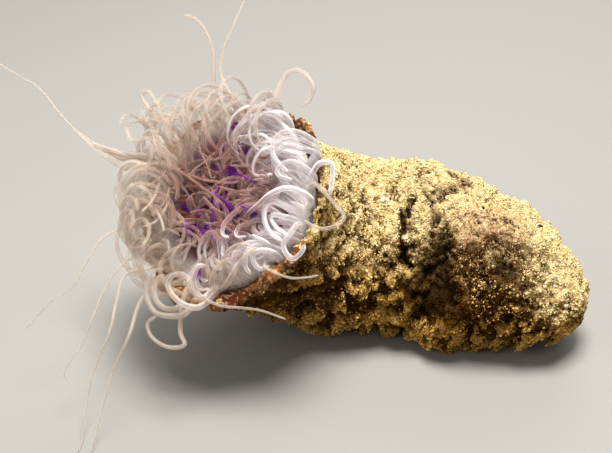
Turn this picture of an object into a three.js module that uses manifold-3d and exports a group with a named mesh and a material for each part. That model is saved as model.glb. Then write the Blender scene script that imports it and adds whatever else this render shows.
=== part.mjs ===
// A tube-dwelling sea anemone (order Ceriantharia) at life size, in millimetres, +Z up.
// The crown leans out of a felted tube that lies on its flattened underside. The long marginal
// tentacles stand round the rim of the disc, the short labial tentacles round the mouth.
// The origin is on the underside of the tube, where the bend settles on the floor.
import * as THREE from 'three';
import { mergeVertices } from 'three/addons/utils/BufferGeometryUtils.js';
import Module from 'manifold-3d';

const wasm = await Module();
wasm.setup();

// Driving dimensions
const GAP = 0.3; // clearance between neighbouring pieces
const MOUTH = new THREE.Vector3(-58, -38, 82); // middle of the oral disc
const MOUTH_AXIS = new THREE.Vector3(-0.425, -0.61, 0.669).normalize(); // the way the mouth faces

const NOTCH_ANGLE = -Math.PI / 3; // where the rim and the tube's lip are pressed in, at the lower right
const NOTCH_SPREAD = Math.PI / 6;
const RIM_PRESS = 0.13; // share of the radius lost in the middle of the notch
const LIP_PRESS = 0.16;
const PRESSED_FROM = [12, 34]; // radii over which the press sets in, and over which it dies out
const PRESSED_TO = [45, 80];

const RIM_OUTER = 38.2; // radius of the fleshy rim that carries the marginal tentacles
const RIM_INNER = 29.5;
const RIM_DEPTH = 4;
const SECTORS = 16; // lengths of rim, each one piece with its tentacles
const PLACES = 4; // places for a tentacle on each length of rim
const PLACE_TURN = (2 * Math.PI) / (SECTORS * PLACES);
const ROW_RADII = [37, 33.2]; // outer and inner row of marginal tentacles
const MARGINAL = { thick: 1.5, thin: 0.72, sides: 5, bow: 1.25, sunk: 1.5, steeper: 4, shorter: 6 };
const MARGINAL_SPREAD = { start: 14, pitch: 5, turn: 14, length: 2, drift: 0.4 }; // natural variation
const RUNT = { every: 4, length: 0.8 }; // one tentacle in four is still growing

const LABIAL_SECTORS = 6;
const LABIAL_PLACES = 5;
const LABIAL_OUTER = 16.4;
const LABIAL_INNER = 7;
const LABIAL_ROWS = [14, 9.6];
const LABIAL = {
  thick: 0.95, thin: 0.5, sides: 4, steps: 3, length: 14, pitch: 92, turn: 20, bow: 1.2, sunk: 1 };
const LABIAL_SPREAD = { pitch: 8, turn: 36, length: 1.5, drift: 0.25 };

const COLUMN_FOOT = -19.7; // depth of the column's visible top, down to where the tube closes on it
const COLUMN_RADIUS = 33;
const COLLAR_TOP = 3;
const COLLAR_BEND = -12; // height above which the lip stands open and uneven
const COLLAR_SIDES = 22;
const LIP_WAVES = [{ height: 1.2, count: 3, shift: 0.6 }, { height: 0.8, count: 5, shift: 0 }];
const LIP_INWARD = 0.8; // the most that a wave brings the lip towards the column
const LIP_SAG = 6; // how far the lip slumps under the tentacles that lie over it
const SAG_ANGLE = 2.45;
const SAG_EDGE = [-0.35, 0.45]; // cosines of the angle from the sag's middle where it starts and is full

const TUBE_RADIUS = 38.6;
const TUBE_SIDES = 20;
const TUBE_START = 20; // distance behind the mouth where the collar passes into the neck
const TUBE_STEPS = 15;
const TAIL_FROM = 0.45; // share of the length where the tube starts to taper
const TAIL_BLUNTNESS = 2.4;
const TAIL_END = 0.02; // square of the share of the radius left at the closed end
const LUMPS = [{ height: 0.035, round: 3, along: 9 }, { height: 0.025, round: 5, along: -14 }];
const LUMPS_FROM = [0.02, 0.2]; // shares of the length over which the lumps set in
const MOUND = { spot: new THREE.Vector3(59, -37, 54), height: 7, width: 21 }; // a thick place in the felt

const LONG = { sides: 5, thin: 0.36, step: 8, rootHeight: 8 }; // the whip-like long marginal tentacles
const LIP_CLEARANCE = 43.5; // radius at which a long tentacle crosses the tube's lip

// Looks
const PALE_FLESH = new THREE.MeshStandardMaterial({ color: 0xe9dcd6, roughness: 0.35, metalness: 0 });
const BEIGE_FLESH = new THREE.MeshStandardMaterial({ color: 0xd9c2ad, roughness: 0.4, metalness: 0 });
const MAUVE_FLESH = new THREE.MeshStandardMaterial({ color: 0xa98295, roughness: 0.4, metalness: 0 });
const VIOLET_FLESH = new THREE.MeshStandardMaterial({ color: 0x7d4fa8, roughness: 0.4, metalness: 0 });
const FELT = new THREE.MeshStandardMaterial({ color: 0x8a5a34, roughness: 0.9, metalness: 0 });
const CRUSTED_FELT = new THREE.MeshStandardMaterial({ color: 0xb39a6d, roughness: 1, metalness: 0 });

const anemone = new THREE.Group();

// The crown's own frame: z along the mouth's axis, x towards the right and the front.
const crown = new THREE.Group();
const across = new THREE.Vector3(1, 0, 0).addScaledVector(MOUTH_AXIS, -MOUTH_AXIS.x).normalize();
const upward = new THREE.Vector3().crossVectors(MOUTH_AXIS, across);
crown.quaternion.setFromRotationMatrix(new THREE.Matrix4().makeBasis(across, upward, MOUTH_AXIS));
crown.position.copy(MOUTH);
crown.updateMatrix();
anemone.add(crown);

function addPiece(parent, name, geometry, material) {
  const piece = new THREE.Mesh(geometry, material);
  piece.name = name;
  parent.add(piece);
}

// The traits that vary between tentacles; those of the labial whorl are drawn apart.
const TRAITS = { pitch: 1, turn: 2, length: 3, drift: 4, start: 5 };
const LABIAL_TRAITS = 10;

// A repeatable number from -1 to 1 for a tentacle's natural variation.
function vary(index, trait) {
  const wave = Math.sin(index * 12.9898 + trait * 78.233) * 43758.5453;
  return 2 * (wave - Math.floor(wave)) - 1;
}

function blend(from, to, share) {
  return from + (to - from) * share;
}

function smooth(low, high, value) {
  return THREE.MathUtils.smoothstep(value, low, high);
}

// How far the crown is pressed in at an angle round it, from 0 to 1.
function notch(angle) {
  const aside = THREE.MathUtils.euclideanModulo(angle - NOTCH_ANGLE + Math.PI, 2 * Math.PI) - Math.PI;
  return Math.exp(-((aside / NOTCH_SPREAD) ** 2));
}

// What is left of a radius of the crown at an angle round it: the middle and what hangs far out
// keep their places, and the rim between them is pressed in at the notch.
function keptShare(radius, angle) {
  const rim = smooth(...PRESSED_FROM, radius) * (1 - smooth(...PRESSED_TO, radius));
  return 1 - RIM_PRESS * rim * notch(angle);
}

function pressedIn(geometry) {
  const spots = geometry.attributes.position;
  for (let i = 0; i < spots.count; i += 1) {
    const x = spots.getX(i);
    const y = spots.getY(i);
    const kept = keptShare(Math.hypot(x, y), Math.atan2(y, x));
    spots.setXYZ(i, kept * x, kept * y, spots.getZ(i));
  }
  return geometry;
}

function welded(geometry) {
  geometry.deleteAttribute('normal');
  geometry.deleteAttribute('uv');
  return mergeVertices(geometry, 1e-4);
}

// Tangents along a row of points.
function tangentsOf(points) {
  return points.map((point, i) => {
    const before = points[Math.max(i - 1, 0)];
    const after = points[Math.min(i + 1, points.length - 1)];
    return new THREE.Vector3().subVectors(after, before).normalize();
  });
}

// A closed round rod bent along points: radiusAt(share of the length, angle round the rod).
function bentRod(points, radiusAt, sides, tangents = tangentsOf(points)) {
  const steps = points.length - 1;
  const rod = welded(new THREE.CylinderGeometry(1, 1, 1, sides, steps));
  const side = new THREE.Vector3(tangents[0].y, -tangents[0].x, 0.1 * tangents[0].z + 0.01);
  const frames = tangents.map((tangent) => {
    side.addScaledVector(tangent, -side.dot(tangent)).normalize();
    return { side: side.clone(), lift: new THREE.Vector3().crossVectors(side, tangent) };
  });
  const spots = rod.attributes.position;
  const spot = new THREE.Vector3();
  for (let i = 0; i < spots.count; i += 1) {
    spot.fromBufferAttribute(spots, i);
    const ring = Math.round((spot.y + 0.5) * steps);
    const radius = radiusAt(ring / steps, Math.atan2(spot.z, spot.x));
    const place = points[ring].clone();
    place.addScaledVector(frames[ring].side, spot.x * radius);
    place.addScaledVector(frames[ring].lift, spot.z * radius);
    spots.setXYZ(i, place.x, place.y, place.z);
  }
  return rod;
}

function solidOf(geometry) {
  const mesh = new wasm.Mesh({
    numProp: 3,
    vertProperties: new Float32Array(geometry.attributes.position.array),
    triVerts: new Uint32Array(geometry.index.array),
  });
  return new wasm.Manifold(mesh);
}

function geometryOf(solid) {
  const mesh = solid.getMesh();
  const geometry = new THREE.BufferGeometry();
  geometry.setAttribute('position', new THREE.BufferAttribute(mesh.vertProperties, 3));
  geometry.setIndex(new THREE.BufferAttribute(mesh.triVerts, 1));
  return geometry;
}

function joined(geometries) {
  const solids = geometries.map(solidOf);
  return geometryOf(solids.reduce((whole, solid) => whole.add(solid)));
}

// A length of a ring, from start to end round the crown's axis, with its top at height 0.
function ringLength(inner, outer, start, end, depth, curveSteps) {
  const outline = new THREE.Shape();
  outline.absarc(0, 0, outer, start, end, false);
  outline.absarc(0, 0, inner, end, start, true);
  const options = { depth, bevelEnabled: false, curveSegments: curveSteps };
  return welded(new THREE.ExtrudeGeometry(outline, options).translate(0, 0, -depth));
}

// The middle line of one short tentacle. It starts at its root radius and pitches in the plane
// through the crown's axis: pitch 0 points outward, a quarter turn up, a half turn inward.
function tentacleLine({ angle, root, pitch, turn, bow, length, drift, steps, sunk }) {
  const step = length / steps;
  const line = [];
  let radius = root;
  let height = -sunk;
  for (let i = 0; i <= steps; i += 1) {
    const swing = drift * Math.sin((0.5 * Math.PI * i) / steps) ** 2;
    const x = radius * Math.cos(angle) - swing * Math.sin(angle);
    const y = radius * Math.sin(angle) + swing * Math.cos(angle);
    line.push(new THREE.Vector3(x, y, height));
    const heading = pitch + turn * ((i + 0.5) / steps) ** bow;
    radius += step * Math.cos(heading);
    height += step * Math.sin(heading);
  }
  return line;
}

// The ways a marginal tentacle stands: its pitch at the root, its turn from root to tip, and its
// length. Arched ones bend inward in a comb, fallen ones drop outward over the collar.
const STANCES = {
  arched: { pitch: 70, turn: 205, length: 36, steps: 7 },
  upright: { pitch: 72, turn: 118, length: 31, steps: 5 },
  fallen: { pitch: 88, turn: -150, length: 37, steps: 5 },
  curled: { pitch: 36, turn: 262, length: 43, steps: 7 },
};

// The side of the crown, in degrees round it from the right, where each way of standing starts.
const STANCE_STARTS = [
  { stance: STANCES.arched, from: -360 },
  { stance: STANCES.upright, from: 50 },
  { stance: STANCES.fallen, from: 132 },
  { stance: STANCES.curled, from: 222 },
  { stance: STANCES.arched, from: 296 },
];

// How the marginal tentacle at a place stands. The inner row stands steeper and is shorter.
function marginalStance(place) {
  const angle = place * PLACE_TURN;
  const row = place % ROW_RADII.length;
  const grown = place % RUNT.every === RUNT.every - 1 ? RUNT.length : 1;
  const side = THREE.MathUtils.radToDeg(angle) + MARGINAL_SPREAD.start * vary(place, TRAITS.start);
  const { stance } = STANCE_STARTS.filter(({ from }) => side > from).pop();
  const pitch = stance.pitch + MARGINAL_SPREAD.pitch * vary(place, TRAITS.pitch) + MARGINAL.steeper * row;
  const turn = stance.turn + MARGINAL_SPREAD.turn * vary(place, TRAITS.turn);
  const length = stance.length + MARGINAL_SPREAD.length * vary(place, TRAITS.length);
  return {
    angle,
    root: ROW_RADII[row],
    pitch: THREE.MathUtils.degToRad(pitch),
    turn: THREE.MathUtils.degToRad(turn),
    bow: MARGINAL.bow,
    length: (length - MARGINAL.shorter * row) * grown,
    drift: MARGINAL_SPREAD.drift * vary(place, TRAITS.drift),
    steps: stance.steps,
    sunk: MARGINAL.sunk,
  };
}

function marginalTentacle(place) {
  const line = tentacleLine(marginalStance(place));
  return bentRod(line, (share) => blend(MARGINAL.thick, MARGINAL.thin, share), MARGINAL.sides);
}

// Long marginal tentacles: the place each grows from, its thickness at the root, the number of
// lengths it is parted into, and its route beyond the collar.
const longTentacles = [
  { name: 'whip_left', place: 28, thick: 1.2, lengths: 3, route: [
    [-113, -13, 91], [-122, -9, 94], [-134, 1, 102], [-144, 11, 109], [-156, 19, 112], [-166, 27, 114]] },
  { name: 'whip_front_long', place: 41, thick: 1.1, lengths: 3, route: [
    [-95, -65, 50], [-98, -83, 46], [-105, -87, 31], [-110, -93, 17], [-114, -101, 4.5],
    [-115, -108, 0.5], [-113, -120, 0.5]] },
  { name: 'whip_front_second', place: 39, thick: 1.1, lengths: 3, route: [
    [-102, -57, 57], [-105, -67, 50], [-107, -77, 43], [-113, -81, 30], [-117, -86, 18],
    [-119, -93, 6.5], [-120, -101, 0.5], [-123, -112, 0.5]] },
  { name: 'whip_front_thin', place: 37, thick: 0.8, lengths: 2, route: [
    [-105, -54, 58], [-111, -60, 51], [-116, -70, 42], [-120, -74, 33], [-125, -77, 27],
    [-128, -79, 21], [-125, -82, 16]] },
  { name: 'whip_side_thin', place: 34, thick: 0.8, lengths: 2, route: [
    [-112, -42, 66], [-119, -50, 59], [-125, -56, 50], [-136, -58, 42], [-147, -61, 30]] },
  { name: 'whip_top', place: 17, thick: 1.2, lengths: 2, route: [
    [-65, -7, 125], [-65, -3, 134], [-68, 1, 141], [-72, 4, 145], [-77, 6, 146]] },
  { name: 'whip_top_second', place: 15, thick: 0.9, lengths: 2, route: [
    [-62, -5, 124], [-61, 1, 132], [-56, 8, 142], [-52, 15, 149]] },
  { name: 'loop_top', place: 10, thick: 1.3, lengths: 2, route: [
    [-36, -17, 127], [-32, -16, 131], [-27, -19, 132], [-23, -24, 129], [-24, -25, 124], [-28, -26, 120]] },
  { name: 'drape_right', place: 0, thick: 1.3, lengths: 2, route: [
    [-14, -63, 96], [-11, -67, 93], [-15, -70, 91], [-21, -70, 90], [-27, -66, 91]] },
  { name: 'trail_right', place: 54, thick: 0.9, lengths: 1, route: [
    [-34, -79, 68], [-28, -81, 69], [-21, -79, 71]] },
  { name: 'trail_front', place: 50, thick: 0.9, lengths: 1, route: [
    [-52, -79, 57], [-44, -82, 58], [-34, -85, 56]] },
  { name: 'loop_front', place: 44, thick: 1.3, lengths: 2, route: [
    [-78, -76, 43], [-76, -82, 40], [-83, -81, 38], [-90, -76, 39], [-92, -72, 43], [-88, -72, 47]] },
  { name: 'bow_top_left', place: 23, thick: 1.2, lengths: 1, route: [
    [-97, 0, 110], [-94, 0, 113], [-90, -5, 110], [-87, -7, 107]] },
];

const takenPlaces = new Set(longTentacles.map((tentacle) => tentacle.place));

// Marginal tentacles, each sector's joined to its length of rim.
for (let sector = 0; sector < SECTORS; sector += 1) {
  const first = sector * PLACES;
  const clear = (0.5 * GAP) / RIM_INNER;
  const start = (first - 0.5) * PLACE_TURN + clear;
  const end = (first + PLACES - 0.5) * PLACE_TURN - clear;
  const rim = ringLength(RIM_INNER, RIM_OUTER, start, end, RIM_DEPTH, 2);
  const growths = [rim];
  for (let place = first; place < first + PLACES; place += 1) {
    if (!takenPlaces.has(place)) growths.push(marginalTentacle(place));
  }
  const name = `marginal_tentacles_${String(sector + 1).padStart(2, '0')}`;
  addPiece(crown, name, pressedIn(joined(growths)), PALE_FLESH);
}

// A point of the crown, given by radius, place and height, in the model's frame.
function crownPoint(radius, place, height) {
  const angle = place * PLACE_TURN;
  const kept = radius * keptShare(radius, angle);
  const point = new THREE.Vector3(kept * Math.cos(angle), kept * Math.sin(angle), height);
  return point.applyMatrix4(crown.matrix);
}

// A long tentacle, parted across into lengths with a thin cut between them.
function addLongTentacle({ name, place, thick, lengths, route }) {
  const root = [crownPoint(ROW_RADII[0], place, GAP), crownPoint(LIP_CLEARANCE, place, LONG.rootHeight)];
  const knots = [...root, ...route.map((spot) => new THREE.Vector3(...spot))];
  const curve = new THREE.CatmullRomCurve3(knots, false, 'centripetal');
  const steps = Math.max(3, Math.round(curve.getLength() / (LONG.step * lengths)));
  for (let part = 0; part < lengths; part += 1) {
    const from = part / lengths;
    const trim = part === 0 ? 0 : GAP / curve.getLength();
    const shares = Array.from({ length: steps + 1 }, (_, i) =>
      blend(from + trim, (part + 1) / lengths, i / steps));
    const points = shares.map((share) => curve.getPointAt(share));
    const tangents = shares.map((share) => curve.getTangentAt(share));
    if (part === 0) tangents[0] = MOUTH_AXIS.clone();
    const rod = bentRod(points, (share) => blend(thick, LONG.thin, blend(shares[0], shares[steps], share)),
      LONG.sides, tangents);
    layOnFloor(rod);
    addPiece(anemone, lengths === 1 ? name : `${name}_${part + 1}`, rod, BEIGE_FLESH);
  }
}

// What would hang below the floor's level rests on it.
function layOnFloor(geometry) {
  const spots = geometry.attributes.position;
  for (let i = 0; i < spots.count; i += 1) spots.setZ(i, Math.max(spots.getZ(i), 0));
}

longTentacles.forEach(addLongTentacle);

// Labial tentacles, each sector's joined to its length of the ring round the mouth.
const labialTurn = (2 * Math.PI) / (LABIAL_SECTORS * LABIAL_PLACES);
for (let sector = 0; sector < LABIAL_SECTORS; sector += 1) {
  const first = sector * LABIAL_PLACES;
  const clear = (0.5 * GAP) / LABIAL_INNER;
  const start = (first - 0.5) * labialTurn + clear;
  const end = (first + LABIAL_PLACES - 0.5) * labialTurn - clear;
  const growths = [ringLength(LABIAL_INNER, LABIAL_OUTER, start, end, RIM_DEPTH, 4)];
  for (let place = first; place < first + LABIAL_PLACES; place += 1) {
    const varied = (trait) => LABIAL_SPREAD[trait] * vary(place, LABIAL_TRAITS + TRAITS[trait]);
    const line = tentacleLine({
      angle: place * labialTurn,
      root: LABIAL_ROWS[place % LABIAL_ROWS.length],
      pitch: THREE.MathUtils.degToRad(LABIAL.pitch + varied('pitch')),
      turn: THREE.MathUtils.degToRad(LABIAL.turn + varied('turn')),
      bow: LABIAL.bow,
      length: LABIAL.length + varied('length'),
      drift: varied('drift'),
      steps: LABIAL.steps,
      sunk: LABIAL.sunk,
    });
    growths.push(bentRod(line, (share) => blend(LABIAL.thick, LABIAL.thin, share), LABIAL.sides));
  }
  addPiece(crown, `labial_tentacles_${sector + 1}`, pressedIn(joined(growths)), VIOLET_FLESH);
}

// Turned pieces of the crown: profiles of radius and height, turned about the mouth's axis.
function turned(profile, sides) {
  const points = profile.map(([radius, height]) => new THREE.Vector2(radius, height));
  return welded(new THREE.LatheGeometry(points, sides).rotateX(Math.PI / 2));
}

// The oral disc between the two whorls, dished towards the mouth.
const discInner = LABIAL_OUTER + GAP;
const discOuter = RIM_INNER - GAP;
addPiece(crown, 'oral_disc', pressedIn(turned([
  [discInner, -RIM_DEPTH], [discOuter, -RIM_DEPTH], [discOuter, -0.6], [discInner, -1.6],
  [discInner, -RIM_DEPTH]], COLLAR_SIDES)), MAUVE_FLESH);

// The lips, puckered shut.
const lipRadius = LABIAL_INNER - GAP;
addPiece(crown, 'mouth', turned([
  [0, -RIM_DEPTH], [lipRadius, -RIM_DEPTH], [lipRadius, -1], [0.65 * lipRadius, 1.4],
  [0.2 * lipRadius, 0.6], [0, -0.6]], 12), MAUVE_FLESH);

// The top of the column, which flares inside the collar.
addPiece(crown, 'column', pressedIn(turned([
  [0, COLUMN_FOOT], [COLUMN_RADIUS, COLUMN_FOOT], [RIM_OUTER - 1.5, -RIM_DEPTH - GAP],
  [0, -RIM_DEPTH - GAP]], COLLAR_SIDES)), PALE_FLESH);

// The collar: the tube's thin lip, waved and uneven, standing clear of the column.
function collarGeometry() {
  const collar = turned([
    [34.5, COLUMN_FOOT], [39, COLUMN_FOOT], [41.2, COLLAR_BEND], [44.6, -1.5], [46.5, COLLAR_TOP],
    [44, COLLAR_TOP], [39.9, -3.5], [36.6, COLLAR_BEND], [34.5, COLUMN_FOOT]], COLLAR_SIDES);
  const spots = collar.attributes.position;
  for (let i = 0; i < spots.count; i += 1) {
    const angle = Math.atan2(spots.getY(i), spots.getX(i));
    const open = smooth(COLLAR_BEND, COLLAR_TOP, spots.getZ(i));
    const wave = LIP_WAVES.reduce((sum, { height, count, shift }) =>
      sum + height * Math.sin(count * angle + shift), 0);
    const sag = LIP_SAG * smooth(...SAG_EDGE, Math.cos(angle - SAG_ANGLE));
    const press = LIP_PRESS * notch(angle) * smooth(COLUMN_FOOT, COLLAR_TOP, spots.getZ(i));
    const stretch = 1 - press + (open * Math.max(wave, -LIP_INWARD)) / LIP_CLEARANCE;
    const height = spots.getZ(i) + open * (wave - sag);
    spots.setXYZ(i, stretch * spots.getX(i), stretch * spots.getY(i), height);
  }
  return collar;
}
addPiece(crown, 'tube_collar', collarGeometry(), FELT);

// The tube: its middle line from the mouth down to the floor and along it, and its radius.
const tubeLine = new THREE.CatmullRomCurve3([
  MOUTH.clone(), MOUTH.clone().addScaledVector(MOUTH_AXIS, -TUBE_START),
  new THREE.Vector3(-36.5, -11, 51), new THREE.Vector3(-19, -2, 38.5), new THREE.Vector3(4, 1, 32),
  new THREE.Vector3(30, -4, 31), new THREE.Vector3(56, -15, 29.5), new THREE.Vector3(79, -28, 25),
  new THREE.Vector3(97, -40, 17.5)], false, 'catmullrom');

// The radius at a share of the tube's length and an angle round it: lumpy, with a blunt end.
function tubeRadius(share, around) {
  const towardsEnd = Math.max(share - TAIL_FROM, 0) / (1 - TAIL_FROM);
  const taper = Math.sqrt(Math.max(1 - towardsEnd ** TAIL_BLUNTNESS, TAIL_END));
  const lumps = LUMPS.reduce((sum, { height, round, along }) =>
    sum + height * Math.sin(round * around + along * share), 0);
  return TUBE_RADIUS * taper * (1 + lumps * smooth(...LUMPS_FROM, share));
}

// Raises the mound, away from the tube's middle line.
const toMound = (knot) => knot.distanceTo(MOUND.spot);
const [underMound] = [...tubeLine.points].sort((one, other) => toMound(one) - toMound(other));
const moundWay = MOUND.spot.clone().sub(underMound).normalize();
function raiseMound(geometry) {
  const spots = geometry.attributes.position;
  const spot = new THREE.Vector3();
  for (let i = 0; i < spots.count; i += 1) {
    spot.fromBufferAttribute(spots, i);
    const rise = MOUND.height * Math.exp(-((spot.distanceTo(MOUND.spot) / MOUND.width) ** 2));
    spot.addScaledVector(moundWay, rise);
    spots.setXYZ(i, spot.x, spot.y, spot.z);
  }
}

const tubeShares = Array.from({ length: TUBE_STEPS + 1 }, (_, i) =>
  blend(TUBE_START / tubeLine.getLength(), 1, i / TUBE_STEPS));
const tubeParts = [
  { name: 'tube_neck', from: 0, to: 3, look: FELT },
  { name: 'tube_bend', from: 3, to: 7, look: CRUSTED_FELT },
  { name: 'tube_run', from: 7, to: 11, look: CRUSTED_FELT },
  { name: 'tube_tail', from: 11, to: TUBE_STEPS, look: CRUSTED_FELT },
];
for (const { name, from, to, look } of tubeParts) {
  const shares = tubeShares.slice(from, to + 1);
  const tangents = shares.map((share) => tubeLine.getTangentAt(share));
  if (from === 0) tangents[0] = MOUTH_AXIS.clone().negate();
  const points = shares.map((share) => tubeLine.getPointAt(share));
  points[0].addScaledVector(tangents[0], from === 0 ? 0 : 0.5 * GAP);
  points[to - from].addScaledVector(tangents[to - from], to === TUBE_STEPS ? 0 : -0.5 * GAP);
  const radiusAt = (share, around) => tubeRadius(blend(from, to, share) / TUBE_STEPS, around);
  const length = bentRod(points, radiusAt, TUBE_SIDES, tangents);
  raiseMound(length);
  layOnFloor(length);
  addPiece(anemone, name, length, look);
}

export default anemone;
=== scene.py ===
import math
import bpy
import numpy as np
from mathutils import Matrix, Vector, kdtree, noise


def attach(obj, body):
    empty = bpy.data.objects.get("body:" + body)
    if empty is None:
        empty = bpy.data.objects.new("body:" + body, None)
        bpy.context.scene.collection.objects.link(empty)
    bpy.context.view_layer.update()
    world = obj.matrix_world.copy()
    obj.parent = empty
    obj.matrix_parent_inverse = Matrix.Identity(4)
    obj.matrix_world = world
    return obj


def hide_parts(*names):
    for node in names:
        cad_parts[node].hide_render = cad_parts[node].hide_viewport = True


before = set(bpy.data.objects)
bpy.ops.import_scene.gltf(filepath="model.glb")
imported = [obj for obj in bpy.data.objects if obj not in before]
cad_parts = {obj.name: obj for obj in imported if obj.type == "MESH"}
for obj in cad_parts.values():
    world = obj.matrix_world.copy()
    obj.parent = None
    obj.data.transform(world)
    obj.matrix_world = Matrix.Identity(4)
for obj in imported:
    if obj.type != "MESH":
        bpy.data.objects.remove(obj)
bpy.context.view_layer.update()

# ---- The camera and the studio ----------------------------------------------------------------
# A camera looks down on the crown from the front, and three soft panels and a pale dome light the
# model, which lies on a plain pale floor.
MM = 0.001
MOUTH = np.array([-58.0, -38.0, 82.0])
LOOK_DOWN = math.radians(35)
DISTANCE = 500
LENS = 70
ASIDE = 31.9
BELOW = 11.1
DOME_STRENGTH = 0.27
FLOOR_SIZE = 12

camera = bpy.data.objects.new("camera", bpy.data.cameras.new("camera"))
bpy.context.scene.collection.objects.link(camera)
camera.data.lens = LENS
camera.data.clip_start = 0.01
camera_up = np.array([0, math.sin(LOOK_DOWN), math.cos(LOOK_DOWN)])
camera_back = np.array([0, -math.cos(LOOK_DOWN), math.sin(LOOK_DOWN)])
camera.location = (MOUTH + ASIDE * np.array([1, 0, 0]) - BELOW * camera_up + DISTANCE * camera_back) * MM
camera.rotation_euler = (math.pi / 2 - LOOK_DOWN, 0, 0)
bpy.context.scene.camera = camera

world = bpy.data.worlds.new("dome")
world.use_nodes = True
dome = world.node_tree.nodes["Background"].inputs
dome["Color"].default_value = (1.0, 0.98, 0.95, 1)
dome["Strength"].default_value = DOME_STRENGTH
bpy.context.scene.world = world
bpy.context.scene.view_settings.view_transform = "Standard"

middle = Vector(MOUTH * MM)
# Each panel's name, place in m from the mouth, size in m, power in watts and colour.
for name, place, size, power, colour in (
        ("key", (0.1, -0.04, 0.92), 0.4, 18, (1.0, 0.97, 0.92)),
        ("fill", (-0.8, -0.5, 0.6), 0.7, 2.8, (1.0, 0.98, 0.97)),
        ("back", (0.35, 0.8, 0.6), 0.6, 4, (1.0, 0.98, 0.95))):
    panel = bpy.data.objects.new(name, bpy.data.lights.new(name, "AREA"))
    panel.data.shape = "DISK"
    panel.data.size = size
    panel.data.energy = power
    panel.data.color = colour
    panel.location = middle + Vector(place)
    panel.rotation_euler = (middle - panel.location).to_track_quat("-Z", "Y").to_euler()
    bpy.context.scene.collection.objects.link(panel)

bpy.ops.object.select_all(action="DESELECT")
bpy.ops.mesh.primitive_plane_add(size=FLOOR_SIZE, location=(0, 0, 0))
floor = bpy.context.object
floor.name = "floor"
paper = bpy.data.materials.new("pale_floor")
paper.use_nodes = True
matt = paper.node_tree.nodes["Principled BSDF"].inputs
matt["Base Color"].default_value = (0.31, 0.30, 0.285, 1)
matt["Roughness"].default_value = 0.9
floor.data.materials.append(paper)


# ---- The felt tube ----------------------------------------------------------------------------
# The animal casts threads that mat into a tough brown felt round its body. Its lip is a bare,
# ragged membrane that stands clear of the column; lower down it is wrinkled and lumpy with sand.
MOUTH_AXIS = np.array([-0.425, -0.61, 0.669])
MOUTH_AXIS /= np.linalg.norm(MOUTH_AXIS)
ACROSS = np.array([1, 0, 0]) - MOUTH_AXIS[0] * MOUTH_AXIS
ACROSS /= np.linalg.norm(ACROSS)
UPWARD = np.cross(MOUTH_AXIS, ACROSS)
TUBE_RADIUS = 38.6
TUBE_START = 20
TUBE_KNOTS = [MOUTH, MOUTH - TUBE_START * MOUTH_AXIS, (-36.5, -11, 51), (-19, -2, 38.5), (4, 1, 32),
              (30, -4, 31), (56, -15, 29.5), (79, -28, 25), (97, -40, 17.5)]
PATH_POINTS = 2000
# Share of the path where the tube begins to round off, how bluntly, how small its last ring is, and
# how far past it the closed end stands, in mm.
TAIL_START = 0.45
TAIL_BLUNTNESS = 2.4
TAIL_LEAST = 0.004
TAIL_CAP = 1.2
# Reach from the mouth's axis and height along it, up inside the lip and down outside it.
INNER_WALL = [(31, -19), (34.6, -17), (36.8, -12), (38.9, -7), (40.6, -3.5), (42.6, 0), (44.6, 2.4)]
OUTER_WALL = [(46.4, 3.4), (47.0, 2.6), (45.6, 0), (44.2, -3), (42.6, -7), (41.2, -11), (40.0, -15),
              (39.2, -18.5)]
# The place at the lower right, in degrees, where lip and crown are pressed in, its width, and the
# share of the radius by which the lip gives way.
NOTCH_SHIFT = 60
NOTCH_WIDTH = 30
NOTCH_DEPTH = 0.17
# Waves in the lip's height and in its lean: how many go round, their size in mm and their start.
LIP_WAVES = [(3, 1.1, 0.6), (7, 0.8, 0), (12, 0.7, 1), (23, 0.5, 2)]
LEAN_WAVES = [(5, 0.7, 2), (17, 0.5, 0)]
# Where the lip dips and where it leans in: angle round the crown, the cosines between which the
# dip grows, and its depth in mm.
LIP_DIPS = [(2.45, -0.35, 0.45, 7), (1.45, 0.8, 0.97, 7.5), (0.05, 0.8, 0.98, 2.2), (2.15, 0.85, 0.97, 5.0)]
LIP_LEANS = [(0.05, 0.85, 0.98, 1.8), (1.4, 0.75, 0.95, 3.4)]
# Height of the lip's torn edge at the right, in mm, and the reach at which its tears are drawn.
RAGGED_EDGE = 2.8
RAGGED_REACH = 44
ROUND = 208
WALL_RINGS = 34
TUBE_RINGS = 230


def smooth_curve(knots, count):
    """Points at even steps along a smooth curve through the knots."""
    knots = np.array(knots, dtype=float)
    padded = np.vstack([2 * knots[0] - knots[1], knots, 2 * knots[-1] - knots[-2]])
    share = np.linspace(0, 1, 41)[:-1, None]
    pieces = []
    for a, b, c, d in zip(padded, padded[1:], padded[2:], padded[3:]):
        start, end = (c - a) / 2, (d - b) / 2
        pieces.append(b + start * share + (3 * (c - b) - 2 * start - end) * share ** 2
                      + (2 * (b - c) + start + end) * share ** 3)
    dense = np.vstack(pieces + [knots[-1:]])
    travelled = np.concatenate([[0], np.cumsum(np.linalg.norm(np.diff(dense, axis=0), axis=1))])
    wanted = np.linspace(0, travelled[-1], count)
    return np.stack([np.interp(wanted, travelled, dense[:, k]) for k in range(dense.shape[1])], axis=1)


def unit(vectors):
    """The vectors at a length of one."""
    return vectors / np.linalg.norm(vectors, axis=-1, keepdims=True)


def smoothstep(low, high, value):
    """A share that eases from 0 to 1 as the value goes from low to high."""
    share = np.clip((value - low) / (high - low), 0, 1)
    return share * share * (3 - 2 * share)


def rough(points, size, seed, octaves=4):
    """Fractal noise of about -1 to 1 at each point, with features of the given size in mm."""
    shift = Vector((seed * 7.3, seed * 3.1, seed * 5.7))
    values = [noise.fractal(Vector(point) / size + shift, 0.6, 2.1, octaves)
              for point in points.reshape(-1, 3)]
    return np.array(values).reshape(points.shape[:-1])


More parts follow.
